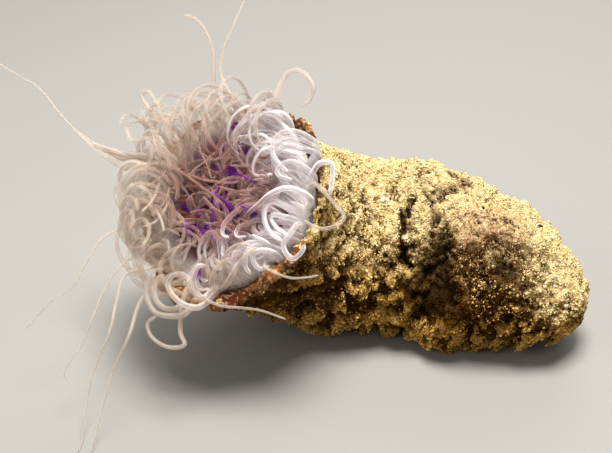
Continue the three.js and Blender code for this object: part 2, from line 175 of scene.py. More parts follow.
turns = np.arange(ROUND) * math.tau / ROUND
crown_angle = -turns
walls = smooth_curve(INNER_WALL + OUTER_WALL, WALL_RINGS)
wall_height = walls[:, 1:]
path = smooth_curve(TUBE_KNOTS, PATH_POINTS)
path_length = np.linalg.norm(np.diff(path, axis=0), axis=1).sum()
shares = np.linspace(TUBE_START / path_length, 1, TUBE_RINGS)
picks = np.round(shares * (PATH_POINTS - 1)).astype(int)
middles = np.vstack([MOUTH + wall_height * MOUTH_AXIS, path[picks]])
ahead = np.vstack([np.repeat(-MOUTH_AXIS[None], WALL_RINGS, axis=0), unit(np.gradient(path, axis=0)[picks])])

sides = []
side = ACROSS
for heading in ahead:
    side = unit(side - side.dot(heading) * heading)
    sides.append(side)
sides = np.array(sides)
lifts = -np.cross(sides, ahead)

tail = np.maximum(shares - TAIL_START, 0) / (1 - TAIL_START)
tube_radii = TUBE_RADIUS * np.sqrt(np.maximum(1 - tail ** TAIL_BLUNTNESS, TAIL_LEAST))
radii = np.concatenate([walls[:, 0], tube_radii])
travel = np.concatenate([np.full(WALL_RINGS, shares[0]), shares])[:, None]
outward = sides[:, None] * np.cos(turns)[None, :, None] + lifts[:, None] * np.sin(turns)[None, :, None]
grid = middles[:, None] + outward * radii[:, None, None]


def notch(angle):
    """How far the crown is pressed in at the lower right, from 0 to 1."""
    return np.exp(-((np.degrees(angle) + 180 + NOTCH_SHIFT) % 360 - 180) ** 2 / NOTCH_WIDTH ** 2)


def toward(angle):
    """How nearly each place round the tube faces an angle round the crown, from -1 to 1."""
    return np.cos(crown_angle - angle)


def waves(table):
    """The sum of the waves at each place round the tube."""
    return sum(size * np.sin(number * turns + start) for number, size, start in table)


def dips(table):
    """The sum of the dips at each place round the tube."""
    return sum(depth * smoothstep(start, full, toward(angle)) for angle, start, full, depth in table)


in_lip = np.concatenate([smoothstep(-14, 3, wall_height), np.zeros((TUBE_RINGS, 1))])
below_lip = smoothstep(0.05, 0, np.arange(TUBE_RINGS) / TUBE_RINGS)[:, None]
near_lip = np.concatenate([smoothstep(-19, -8, wall_height), below_lip])
grid -= outward * (radii[:, None] * NOTCH_DEPTH * near_lip * notch(crown_angle))[..., None]
lip_ring = RAGGED_REACH * np.stack([np.cos(turns), np.sin(turns), 0 * turns], axis=1)
ragged = rough(lip_ring, 4.5, 12, 4)
lip_rise = waves(LIP_WAVES) - dips(LIP_DIPS) + RAGGED_EDGE * ragged * smoothstep(-0.2, 0.5, toward(-0.35))
grid += MOUTH_AXIS * (in_lip * lip_rise)[..., None]
grid += outward * (in_lip * (waves(LEAN_WAVES) - dips(LIP_LEANS)))[..., None]

# How thickly sand sits: bare inside, on the lip and just below it at the top, with a few grains on
# the rim at the right.
outer = np.concatenate([np.arange(WALL_RINGS) > 0.5 * WALL_RINGS, np.ones(TUBE_RINGS)])[:, None]
bare = smoothstep(0.68, 0.9, 0.5 + 0.5 * toward(-1.75)) * (1 - smoothstep(0.08, 0.13, travel))
sandy = np.clip(smoothstep(0.085, 0.14, travel) + 0.75 * outer - bare, 0, 1) * outer
rim_grains = smoothstep(0, 0.3, rough(grid[:WALL_RINGS], 6, 14, 3)) * smoothstep(0.75, 0.97, toward(-0.1))
sandy[:WALL_RINGS] *= np.maximum(smoothstep(3.5, 0, wall_height), rim_grains)
sandy[:WALL_RINGS] += 0.5 * smoothstep(0.8, 0.98, toward(-0.1)) * smoothstep(-9, 0, wall_height)
sandy = np.minimum(sandy, 1)

# Share along the path, angle round it in degrees, width and height of each swelling or hollow, in mm.
SWELLINGS = [(0.24, 64, 10, -3), (0.36, 84, 9, 3), (0.775, 8, 19, 9), (0.665, 30, 12, -9), (0.68, 8, 8, -4),
             (0.5, 15, 15, 4), (0.6, -50, 20, 4), (0.94, 25, 13, 3.5), (0.4, 62, 12, 4), (0.7, 86, 13, 5),
             (0.9, -60, 17, -3), (0.55, 180, 20, 4), (0.8, 140, 18, 4), (0.4, -110, 16, 3), (0.53, 60, 8, -4),
             (0.3, 40, 10, 2.5), (0.72, -30, 9, -3)]
# Share along the path, angle and width of the brown and the rosy growths on the thick place, of the
# hollows beside it, which get a painted shadow, and of the places where the felt is bare.
BROWN_GROWTHS = [(0.79, 8, 10), (0.83, 18, 13), (0.85, 30, 11), (0.78, 30, 12), (0.73, 22, 9), (0.80, 48, 10)]
ROSY_GROWTHS = [(0.72, -10, 10), (0.77, -13, 10), (0.75, 6, 9)]
SHADOWED_HOLLOWS = [(0.675, 6, 5), (0.675, 20, 7), (0.68, 36, 9), (0.72, 46, 9), (0.65, 52, 8)]
BARE_PLACES = [(0.13, 86, 14), (0.2, 70, 13), (0.28, 60, 10)]
# Share along the path, first and last angle, depth and waviness of each fissure.
FISSURES = [(0.575, -22, 38, 6.5, 0.012), (0.66, 10, 80, 4, 0.02), (0.46, 30, 95, 3, 0.015),
            (0.74, -95, -20, 3, 0.01), (0.87, 40, 120, 3, 0.012), (0.37, -60, 20, 2, 0.01),
            (0.6, 100, 200, 3, 0.015)]
FISSURE_WIDTH = 0.009

# The surface's own relief: broad lumps, knobs where it is sandy, fine folds and creases between,
# and on the bare underside clumps of felt that hang down.
underneath = outer * smoothstep(0.4, 0.9, np.sin(turns + 0.12)) * smoothstep(0.04, 0.12, travel)
clumps = smoothstep(-0.05, 0.22, rough(grid, 8, 8, 3))
sandy = sandy * (1 - 0.84 * underneath * (1 - clumps))
lumps = rough(grid, 17, 1, 3)
knobs = rough(grid, 6, 2, 4)
creases = 1 - smoothstep(0, 0.08, np.abs(rough(grid, 13, 3, 3)))
folds = np.sin(34 * turns + 5 * rough(grid, 22, 4, 2) + 9 * travel)
swell = outer * (2.6 * lumps * smoothstep(0.1, 0.3, travel) + 4.2 * underneath * clumps)
swell += outer * sandy * (2.1 * knobs - 2.6 * creases)
swell += outer * (1 - sandy) * (0.45 * folds + (0.5 + 1.1 * underneath) * knobs)

# Fissures wander round the tube, and wherever the surface lies deep it is darkened with painted shade.
wander = rough(grid, 11, 6, 3)
for along_path, first_angle, last_angle, depth, wave in FISSURES:
    middle_angle = math.radians((first_angle + last_angle) / 2)
    half = math.radians((last_angle - first_angle) / 2)
    aside = np.abs((turns - middle_angle + math.pi) % math.tau - math.pi)
    line = travel - along_path - wave * np.sin(5 * turns + 20 * along_path) - 0.025 * wander
    swell -= depth * np.exp(-(line / FISSURE_WIDTH) ** 2) * smoothstep(half, 0.75 * half, aside)
dirty = outer * smoothstep(-0.4, -3.4, swell)


def around_spot(along_path, angle, width):
    """How near each point of the tube is to a spot on it, from 0 to 1."""
    centre = grid[np.argmin(np.abs(travel - along_path)), round(angle / 360 * ROUND) % ROUND]
    return np.exp(-np.sum((grid - centre) ** 2, axis=-1) / width ** 2)


def around_spots(table):
    """How near each point of the tube is to any of the spots, added up."""
    return sum(around_spot(*spot) for spot in table)


for *spot, height in SWELLINGS:
    swell += height * around_spot(*spot)
# The hollows beside the thick place get a painted shadow, on top of the painted shade of deep places.
hollow_shadows = np.minimum(around_spots(SHADOWED_HOLLOWS), 1)
dirty = np.maximum(dirty, 0.95 * hollow_shadows)
brown = np.clip(around_spots(BROWN_GROWTHS) * (0.75 + 1.5 * knobs), 0, 1)
rosy = np.minimum(around_spots(ROSY_GROWTHS), 1)
sandy = np.maximum(sandy, np.maximum(0.85 * brown, 0.65 * hollow_shadows))
sandy = sandy * (1 - 0.93 * np.minimum(around_spots(BARE_PLACES), 1) * (1 - 0.2 * clumps))
swell += 1.8 * np.maximum(brown, rosy) * rough(grid, 3.5, 9, 3)
grid += outward * swell[..., None]
grid[..., 2] = np.maximum(grid[..., 2], 0)


def ringed_faces(count, around):
    """Faces that join rings of points and close each end to a pole, and their corners on a flat map."""
    ring, step = np.indices((count - 1, around)).reshape(2, -1)
    corners = [(ring + down, step + on) for down, on in ((0, 0), (0, 1), (1, 1), (1, 0))]
    quads = np.stack([row * around + column % around for row, column in corners], axis=-1)
    flat = [np.stack([column / around, (row + 1) / (count + 1)], axis=-1) for row, column in corners]
    fans, fan_flat = [], []
    for pole, edge in ((0, 0), (1, count - 1)):
        for k in range(around):
            pair = (k, k + 1) if pole else (k + 1, k)
            fans.append([count * around + pole] + [edge * around + column % around for column in pair])
            fan_flat.append(((k + 0.5) / around, pole))
            fan_flat += [(column / around, (edge + 1) / (count + 1)) for column in pair]
    return quads.tolist() + fans, np.vstack([np.stack(flat, axis=1).reshape(-1, 2), fan_flat])


def new_piece(name, points, faces, flat):
    """A smooth object with its points given in mm and with its own flat map."""
    mesh = bpy.data.meshes.new(name)
    mesh.from_pydata((points * MM).tolist(), [], faces)
    mesh.polygons.foreach_set("use_smooth", np.ones(len(faces), dtype=bool))
    mesh.uv_layers.new(name="OFBake").data.foreach_set("uv", flat.astype(np.float32).ravel())
    piece = bpy.data.objects.new(name, mesh)
    bpy.context.scene.collection.objects.link(piece)
    return piece


def mark(piece, **fields):
    """Write a value for each point of the piece under each name."""
    for name, value in fields.items():
        piece.data.attributes.new(name, "FLOAT", "POINT").data.foreach_set("value", value.astype(np.float32))


def with_poles(field, first=0, last=0):
    """The field's values ring by ring, then one for the pole at each end."""
    return np.append(field, [first, last])


tube_points = np.vstack([grid.reshape(-1, 3), middles[0], middles[-1] + TAIL_CAP * ahead[-1]])
felt_tube = new_piece("felt_tube", tube_points, *ringed_faces(len(grid), ROUND))
sheet_normals = np.array([vertex.normal[:] for vertex in felt_tube.data.vertices])
facing_up = sheet_normals[:, 2]

# What the materials read: how dusted with pale silt each place is, with painted light on faces turned up, and
# how dark and warm with painted shade underneath and on faces turned down.
settled = with_poles(np.repeat(0.45 + 0.35 * smoothstep(0.5, 0.62, travel), ROUND), 0.8, 0.8)
# Partly silt settled on faces turned up, and partly painted light on the lit top.
dusted = smoothstep(0.0, 0.8, facing_up) * np.maximum(settled, smoothstep(0.7, 0.95, facing_up))
shade = np.maximum(with_poles(underneath), smoothstep(0.35, -0.3, facing_up))
silty = shade * (1 - 0.85 * with_poles(clumps))
mark(felt_tube, silty=silty, shade=shade, dusted=dusted, sandy=with_poles(sandy, 0, 1),
     lip=with_poles(np.repeat(np.maximum(in_lip, 1 - outer), ROUND), 1, 0),
     dirty=with_poles(dirty), brown=with_poles(brown))


class Maths:
    """A shader socket that can be used in Python sums."""

    def __init__(self, graph, socket):
        self.graph, self.socket = graph, socket

    def _join(self, operation, first, second):
        return self.graph.node("Math", {"operation": operation}, {0: first, 1: second})[0]

    def __add__(self, other):
        return self._join("ADD", self, other)

    __radd__ = __add__

    def __mul__(self, other):
        return self._join("MULTIPLY", self, other)

    __rmul__ = __mul__

    def __sub__(self, other):
        return self._join("SUBTRACT", self, other)

    def __rsub__(self, other):
        return self._join("SUBTRACT", other, self)


class Graph:
    """The nodes of one material, ending in a principled shader."""

    def __init__(self, name):
        self.material = bpy.data.materials.new(name)
        self.material.use_nodes = True
        self.nodes = self.material.node_tree.nodes
        self.shader = self.nodes["Principled BSDF"]

    def node(self, kind, settings=None, values=None):
        """The outputs of a new node with its settings made first and then its sockets filled."""
        made = self.nodes.new("ShaderNode" + kind)
        for key, value in (settings or {}).items():
            if key == "stops":
                stops = made.color_ramp.elements
                while len(stops) < len(value):
                    stops.new(1)
                for stop, (place, colour) in zip(stops, value):
                    stop.position = place
                    stop.color = (*colour, 1)
            else:
                setattr(made, key, value)
        self.fill(made, values or {})
        return [Maths(self, socket) for socket in made.outputs]

    def fill(self, made, values):
        """Link or set each named socket."""
        for key, value in values.items():
            if isinstance(value, Maths):
                self.material.node_tree.links.new(value.socket, made.inputs[key])
            else:
                made.inputs[key].default_value = value

    def blend(self, share, first, second, how="MIX"):
        """The first colour turned by a share into the second, or multiplied by it."""
        first, second = (colour if isinstance(colour, Maths) else (*colour, 1) for colour in (first, second))
        settings = {"data_type": "RGBA", "blend_type": how, "clamp_factor": True}
        return self.node("Mix", settings, {0: share, 6: first, 7: second})[2]

    def field(self, name):
        """The value that the mesh holds for each point under the name."""
        return self.node("Attribute", {"attribute_name": name})[2]

    def step(self, value, low, high):
        """A share that eases from 0 to 1 as the value goes from low to high."""
        settings = {"interpolation_type": "SMOOTHSTEP"}
        return self.node("MapRange", settings, {0: value, 1: low, 2: high})[0]

    def place(self):
        """Places on the piece, in metres from its own origin."""
        return self.node("TexCoord")[3]

    def grain(self, place, scale, detail=4.0, roughness=0.55):
        """Soft noise from 0 to 1, with the given number of features to the metre."""
        values = {"Vector": place, "Scale": scale, "Detail": detail, "Roughness": roughness}
        return self.node("TexNoise", None, values)[0]

    def bump(self, strength, distance, height):
        """Relief too fine for the mesh, with its depth in metres."""
        values = {"Strength": strength, "Distance": distance, "Height": height}
        return self.node("Bump", None, values)[0]

    def finish(self, **values):
        """The material, with the values given for the shader's own sockets."""
        names = {"colour": "Base Color", "roughness": "Roughness", "normal": "Normal", "alpha": "Alpha",
                 "coat": "Coat Weight", "coat_roughness": "Coat Roughness", "sheen": "Sheen Weight",
                 "sheen_roughness": "Sheen Roughness", "subsurface": "Subsurface Weight",
                 "subsurface_scale": "Subsurface Scale", "subsurface_radius": "Subsurface Radius",
                 "specular": "Specular IOR Level", "glow": "Emission Color",
                 "glow_strength": "Emission Strength"}
        self.fill(self.shader, {names[key]: value for key, value in values.items()})
        return self.material


# Rust-brown membrane at the lip, dark matted fibres on the bare felt, darker still as painted shade, silt
# between the sand grains.
felt = Graph("tube_felt")
place = felt.place()
sand_share, lip_here = felt.field("sandy"), felt.field("lip")
speckle = felt.grain(place, 900, 2)
cloud = felt.grain(place, 60)
rust = felt.blend(felt.step(cloud, 0.35, 0.65), (0.11, 0.028, 0.007), (0.29, 0.115, 0.035))
specks = 0.85 * felt.step(felt.grain(place, 520, 3), 0.5, 0.62)
membrane = felt.blend(specks, rust, (0.58, 0.42, 0.24))
sheet_place = felt.node("UVMap", {"uv_map": "OFBake"})[0]
stretched = felt.node("VectorMath", {"operation": "MULTIPLY"}, {0: sheet_place, 1: (150, 14, 1)})[0]
fibres = felt.grain(stretched, 1, 5, 0.7)
matted = felt.step(0.5 * cloud + 0.5 * fibres, 0.38, 0.62)
# The bare felt's dark fibres are darkened further as painted shade.
shaded = felt.blend(matted, (0.016, 0.006, 0.001), (0.10, 0.042, 0.006))
bare_felt = felt.blend(lip_here, shaded, membrane)
SILT_STOPS = [(0.3, (0.15, 0.085, 0.02)), (0.5, (0.42, 0.29, 0.10)), (0.7, (0.74, 0.60, 0.31))]
silt_and_shade = felt.node("ValToRGB", {"stops": SILT_STOPS}, {0: speckle})[0]
# Dust and painted light on faces turned up make the silt paler.
silt_and_shade = felt.blend(0.65 * felt.field("dusted"), silt_and_shade, (0.66, 0.52, 0.28))
# Underneath and on faces turned down, the silt is darkened and warmed as painted shade.
silt_and_shade = felt.blend(0.9 * felt.field("silty"), silt_and_shade, (0.04, 0.018, 0.003))
silt_and_shade = felt.blend(felt.field("shade"), silt_and_shade, (1.0, 0.76, 0.38), "MULTIPLY")
felt_colour = felt.blend(felt.step(sand_share + 0.5 * speckle, 0.45, 0.85), bare_felt, silt_and_shade)
felt_colour = felt.blend(0.9 * felt.field("brown"), felt_colour, (0.045, 0.018, 0.004))
# Painted shade darkens the felt in deep places and in the hollows.
felt_colour = felt.blend(0.9 * felt.field("dirty"), felt_colour, (0.012, 0.006, 0.002))
felt_bump = felt.bump(0.6, 0.0006, speckle + 0.6 * felt.grain(place, 260) + fibres)
felt_tube.data.materials.append(felt.finish(
    colour=felt_colour, roughness=0.95 - 0.35 * lip_here, normal=felt_bump, specular=0.04))
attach(felt_tube, "root")
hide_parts(*[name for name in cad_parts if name.startswith("tube_")])


# ---- The sand crust ---------------------------------------------------------------------------
# Coral sand, grit and shell chips stick to the felt as it sets. Each grain is a worn little solid,
# seated in the surface; coarse grit lies among the fine sand, and the shaded felt stays bare.
FINE_PIECES = 7
FINE_GRAINS = 9900
FINE_SIZES = (0.3, 0.72)
FINE_SUNK = 0.15
COARSE_GRAINS = 650
COARSE_SIZES = (0.7, 1.7)
COARSE_SUNK = 0.1
# How strongly small grains outnumber large ones, how flat they lie, and how worn and tipped they are.
SMALL_MANY = 2.2
FLATTENED = 0.8
DENTED = 0.22
TIPPED = 0.35
# The width of a grain's patch on the flat map.
PATCH = 0.0015

sheet = np.array([vertex.co[:] for vertex in felt_tube.data.vertices]) / MM
sheet_faces = np.array([polygon.vertices[:] for polygon in felt_tube.data.polygons
                        if len(polygon.vertices) == 4])
cover = with_poles(sandy, 0, 0.5) ** 1.3


def scatter(count, chance):
    """Grain places on the sheet's faces, drawn by area and by how sandy each face is."""
    corner = sheet[sheet_faces]
    area = np.linalg.norm(np.cross(corner[:, 2] - corner[:, 0], corner[:, 3] - corner[:, 1]), axis=1) / 2
    share = area * cover[sheet_faces].mean(axis=1) * (corner[..., 2].max(axis=1) > 1.0)
    drawn = chance.choice(len(sheet_faces), size=count, p=share / share.sum())
    u, v = chance.random((2, count, 1))
    a, b, c, d = corner[drawn].transpose(1, 0, 2)
    spots = (a * (1 - u) + b * u) * (1 - v) + (d * (1 - u) + c * u) * v
    facing = unit(sheet_normals[sheet_faces[drawn]].mean(axis=1))
    ring, step = drawn[:, None] // ROUND, drawn[:, None] % ROUND
    homes = np.hstack([(step + u) / ROUND, (ring + 1 + v) / (len(grid) + 1)])
    return spots, facing, homes, sheet_faces[drawn, 0]


def grain_piece(name, count, sizes, sunk, seed):
    """One mesh of grains seated in the felt, each a dented little ball turned its own way."""
    chance = np.random.default_rng(seed)
    spots, facing, homes, seats = scatter(count, chance)
    bpy.ops.object.select_all(action="DESELECT")
    bpy.ops.mesh.primitive_ico_sphere_add(subdivisions=1, radius=1)
    ball = bpy.context.object
    corners = np.array([vertex.co[:] for vertex in ball.data.vertices])
    triangles = np.array([polygon.vertices[:] for polygon in ball.data.polygons])
    bpy.data.objects.remove(ball)
    size = sizes[0] + (sizes[1] - sizes[0]) * chance.random(count) ** SMALL_MANY
    stretch = 0.6 + 0.55 * chance.random((count, 1, 3))
    dents = 1 + DENTED * chance.standard_normal((count, len(corners), 1))
    turn = unit(chance.standard_normal((count, 3)))
    cross = unit(np.cross(facing, turn))
    lean = unit(facing + TIPPED * chance.standard_normal((count, 3)))
    first = unit(np.cross(lean, cross))
    axes = np.stack([first, np.cross(lean, first), lean * FLATTENED], axis=1)
    shapes = np.einsum("nvk,nkj->nvj", corners[None] * stretch * dents, axes) * size[:, None, None]
    placed = shapes + (spots + facing * (size * sunk)[:, None])[:, None]
    placed[..., 2] = np.maximum(placed[..., 2], 0.0)
    faces = (triangles[None] + (np.arange(count) * len(corners))[:, None, None]).reshape(-1, 3)
    flat = np.clip(homes[:, None] + corners[None, :, :2] * PATCH, 0, 1).reshape(-1, 2)[faces.ravel()]
    piece = new_piece(name, placed.reshape(-1, 3), faces.tolist(), flat)
    fields = {"dirty": with_poles(dirty), "brown": with_poles(brown), "rosy": with_poles(rosy),
              "dusted": dusted, "silty": silty, "shade": shade}
    mark(piece, grain=np.repeat(chance.random(count), len(corners)),
         **{name: np.repeat(value[seats], len(corners)) for name, value in fields.items()})
    return piece


# Each grain has a colour of its own, most of them cream or yellow, a few near black or rosy. Dust, with
# painted light on faces turned up, and tan patches lie over them; growths are darker, and painted shade
# darkens shaded places and crevices.
sand = Graph("coral_sand")
pick = sand.field("grain")
GRAIN_STOPS = [(0.0, (0.07, 0.035, 0.008)), (0.12, (0.27, 0.15, 0.032)), (0.32, (0.57, 0.39, 0.11)),
               (0.52, (0.78, 0.60, 0.25)), (0.8, (0.92, 0.79, 0.46)), (0.96, (0.96, 0.90, 0.72)),
               (1.0, (0.55, 0.30, 0.30))]
sand_colour = sand.node("ValToRGB", {"stops": GRAIN_STOPS}, {0: pick})[0]
dust = sand.grain(sand.place(), 700)
sand_colour = sand.blend(sand.step(dust, 0.45, 0.75) * 0.5, sand_colour, (0.60, 0.44, 0.19))
region = sand.grain(sand.place(), 28, 3)
sand_colour = sand.blend(0.6 * sand.step(region, 0.45, 0.7), sand_colour, (0.32, 0.19, 0.045))
# Dust and painted light on faces turned up make the grains paler.
sand_colour = sand.blend(0.45 * sand.field("dusted"), sand_colour, (0.78, 0.64, 0.38))
sand_colour = sand.blend(0.75 * sand.field("rosy"), sand_colour, (0.33, 0.17, 0.12))
worn = 1 - 0.95 * sand.step(pick, 0.48, 0.72)
sand_colour = sand.blend(worn * sand.field("brown"), sand_colour, (0.055, 0.02, 0.003))
# Underneath and on faces turned down, the grains are darkened as painted shade.
sand_colour = sand.blend((0.2 + 0.8 * worn) * sand.field("silty"), sand_colour, (0.04, 0.017, 0.003))
# Painted shade darkens the grains in deep places and in the hollows.
deep_shade_field = sand.field("dirty")
sand_colour = sand.blend(0.75 * sand.step(deep_shade_field, 0, 0.45), sand_colour, (0.20, 0.10, 0.025))
sand_colour = sand.blend(0.95 * sand.step(deep_shade_field, 0.25, 0.95), sand_colour, (0.02, 0.008, 0.002))
# The painted shade also warms the colour underneath and on faces turned down.
sand_colour = sand.blend(sand.field("shade"), sand_colour, (1.0, 0.76, 0.38), "MULTIPLY")
sand_colour = sand.blend(0.7 * sand.field("brown"), sand_colour, (1.0, 0.8, 0.5), "MULTIPLY")
sand_look = sand.finish(colour=sand_colour, roughness=0.8 + 0.2 * dust,
                        normal=sand.bump(0.5, 0.0003, dust), specular=0.02)
for name, *grains in (
        *[(f"fine_sand_{k}", FINE_GRAINS, FINE_SIZES, FINE_SUNK, 20 + k) for k in range(FINE_PIECES)],
        ("coarse_grit", COARSE_GRAINS, COARSE_SIZES, COARSE_SUNK, 13)):
    grit = grain_piece(name, *grains)
    grit.data.materials.append(sand_look)
    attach(grit, "root")


# ---- The body, its rim, the oral disc and the mouth --------------------------------------------
# The soft column stands inside the tube and widens to a rim. Across its top lies the thin oral
# disc, which dips and then rises to the slit of the mouth. All the flesh grows as one skin.
BODY_PROFILE = [(29, -18), (32.5, -16.5), (34.3, -11), (36.2, -6), (37.8, -2.6), (37.9, -0.6), (36.4, 0.4),
                (33.5, 0.2), (30, -1.2), (25, -3), (19, -4), (13, -3.6), (9, -1.8), (6.6, 0.8), (5, 0.9),
                (3.6, -1.5), (2.6, -6)]
BODY_POLES = [(0, 0, -18.4), (0, 0, -7)]
BODY_RINGS = 46
BODY_ROUND = 160
BODY_RIDGES = 32
BODY_STRIP = 0.15
RIM_PRESSED = 0.12
CROWN_FRAME = np.stack([ACROSS, UPWARD, MOUTH_AXIS])


def in_world(points):
    """World places of points given by how far they lie across, upward and out from the mouth."""
    return MOUTH + points @ CROWN_FRAME


def from_mouth(points):
    """How far points of the world lie across, upward and out from the mouth."""
    return (np.array(points, dtype=float) - MOUTH) @ CROWN_FRAME.T


def pressed(points):
    """Points round the mouth after the rim is pressed in at the notch."""
    reach = np.linalg.norm(points[..., :2], axis=-1)
    share = RIM_PRESSED * notch(np.arctan2(points[..., 1], points[..., 0])) * smoothstep(12, 34, reach)
    share = share * smoothstep(80, 45, reach)
    return points * np.stack([1 - share, 1 - share, np.ones_like(share)], axis=-1)


body_turns = np.arange(BODY_ROUND) * math.tau / BODY_ROUND
body_rings = smooth_curve(BODY_PROFILE, BODY_RINGS)
reach, height = body_rings[:, :1], body_rings[:, 1:]
ridges = np.sin(BODY_RIDGES * body_turns)
flank = smoothstep(-0.5, -3, height) * smoothstep(30, 33, reach)
slit = 1 - 0.45 * smoothstep(12, 4, reach) * np.sin(body_turns) ** 2
swollen = reach * (slit + 0.008 * flank * ridges)
pleats = 0.45 * ridges * smoothstep(6, 12, reach) * smoothstep(36, 30, reach)
body_grid = np.stack([swollen * np.cos(body_turns), swollen * np.sin(body_turns), height + pleats], axis=-1)

# Vivid places near the mouth: across, upward and size in mm.
VIOLET_SPOTS = [(-16.5, -12, 4.5), (3, 11, 3.6), (-27, 5, 3), (-26, 17.5, 3.4), (-22, 0, 3), (1, -4, 3),
                (-14, -31, 4.2), (8, 20, 3), (2, 32, 2.6), (-9, -13, 3.2), (14, -8, 2.6)]
skin_parts = []


def violet_near(rings):
    """How close each point is to a vivid place near the mouth, from 0 to 1."""
    spots = np.array(VIOLET_SPOTS)
    away = np.linalg.norm(rings[..., None, :2] - spots[:, :2], axis=-1) / spots[:, 2]
    near_disc = smoothstep(13, 7, rings[..., 2]) * smoothstep(-9, -4, rings[..., 2])
    return np.exp(-away ** 2).max(axis=-1) * near_disc


def add_rings(rings, ends, cell, **fields):
    """Keep one swept part of the skin: rings of points, two end points, a map cell and its fields."""
    fields["violet"] = np.maximum(fields["violet"], violet_near(rings))
    fields = {name: np.broadcast_to(np.asarray(value, dtype=float), rings.shape[:2])
              for name, value in fields.items()}
    skin_parts.append((rings, ends, cell, fields))


inward = 1 - smoothstep(27, 36, reach)
add_rings(pressed(body_grid), BODY_POLES, (0, 0, 1, BODY_STRIP), along=0.05, veil=0,
          band=1 - 0.3 * flank * (1 + ridges), mauve=inward, beige=0.8 - 0.5 * inward,
          violet=0.35 * smoothstep(32, 22, reach))


# ---- Marginal tentacles ------------------------------------------------------------------------
# Crowded rows of smooth, hollow, see-through tentacles ring the disc. They arch in and curl on the
# right, stand as a veil at the top, and roll out over the lip on the left.
MARGINAL_PLACES = 62
# Each row's reach from the mouth's axis and the size of its tentacles.
MARGINAL_ROWS = [(37.2, 1.0), (34.6, 0.94), (32.0, 0.8)]
MARGINAL_RINGS = 36
MARGINAL_SIDES = 8
# By place round the rim, in degrees: pitch and sideways yaw of the root, whole turn, lean of the
# curl; length in mm.
STANCES = {
    -142: (10, -30, 240, -62, 58), -118: (10, -34, 245, -68, 56), -100: (24, -50, 262, -76, 50),
    -84: (46, 165, 250, 72, 44), -60: (42, 155, 285, 80, 44), -35: (30, 140, 290, 82, 47),
    -12: (20, 130, 278, 84, 52), 14: (20, 128, 278, 84, 52), 34: (30, 70, 258, 55, 50),
    50: (28, 4, 216, 10, 50), 70: (27, -6, 196, 4, 53), 88: (32, 6, 196, 0, 47),
    112: (36, 0, 198, -8, 46), 135: (32, -20, 205, -40, 50), 160: (28, -38, 225, -62, 50),
    188: (28, -42, 235, -70, 50)}
# The same for the innermost row on the left.
INNER_LEFT = (72, 20, 215, -58, 42)
# By place round the rim: how slender the tentacles are, and the share of places left empty.
SLENDER = {-142: 1.05, -90: 1.0, 30: 1.0, 48: 0.84, 120: 0.86, 140: 0.98, 190: 1.08}
EMPTY = {-142: 0.1, -128: 0.25, -95: 0.35, -75: 0.38, 30: 0.38, 45: 0.05, 120: 0.05, 150: 0.1, 200: 0.05}
# By place round the rim: how freely the tentacles differ from one another.
WILD = {-142: 1, 30: 1, 52: 1.6, 118: 1.6, 140: 1.2, 200: 1}
CLUMP = 11
chance = np.random.default_rng(5)


def round_rim(angles, known):
    """Values for places round the rim, eased between those that are known, by angle in degrees."""
    table = np.array([np.append(angle, values) for angle, values in known.items()])
    whole = np.eye(1, table.shape[1])[0] * 360
    looped = np.vstack([table[-1:] - whole, table, table[:1] + whole])
    wrapped = (angles + 142) % 360 - 142
    return [np.interp(wrapped, looped[:, 0], looped[:, k]) for k in range(1, table.shape[1])]


def turned(vectors, axes, angles):
    """The vectors turned about the axes."""
    angles = angles[:, None]
    kept = np.sum(axes * vectors, axis=1, keepdims=True) * axes * (1 - np.cos(angles))
    return vectors * np.cos(angles) + np.cross(axes, vectors) * np.sin(angles) + kept


def curled(angles, reach, pitch, yaw, turn, lean, length, rings, bow, sunk=1.4):
    """Centre lines of tentacles that leave the disc at a pitch and curl about a leaning axis."""
    angles, pitch, yaw, turn, lean = (np.radians(value) for value in (angles, pitch, yaw, turn, lean))
    flat = np.zeros_like(angles)
    radial = np.stack([np.cos(angles), np.sin(angles), flat], axis=1)
    tangent = np.stack([-np.sin(angles), np.cos(angles), flat], axis=1)
    upright = np.array([0, 0, 1.0])
    level = np.cos(yaw)[:, None] * radial + np.sin(yaw)[:, None] * tangent
    heading = np.cos(pitch)[:, None] * level + np.sin(pitch)[:, None] * upright
    spot = radial * reach[:, None] - upright * sunk
    step = (length / (rings - 1))[:, None]
    line = [spot]
    lateral = []
    for k in range(rings - 1):
        share = (k + 0.5) / (rings - 1)
        tip = lean * smoothstep(0.02, 0.35, share)
        axis = -np.cos(tip)[:, None] * tangent + np.sin(tip)[:, None] * upright
        amount = turn * (((k + 1) / (rings - 1)) ** bow - (k / (rings - 1)) ** bow)
        heading = unit(turned(heading, axis, amount))
        spot = spot + heading * step
        line.append(spot)
        lateral.append(axis)
    return np.stack(line, axis=1), lateral[0]


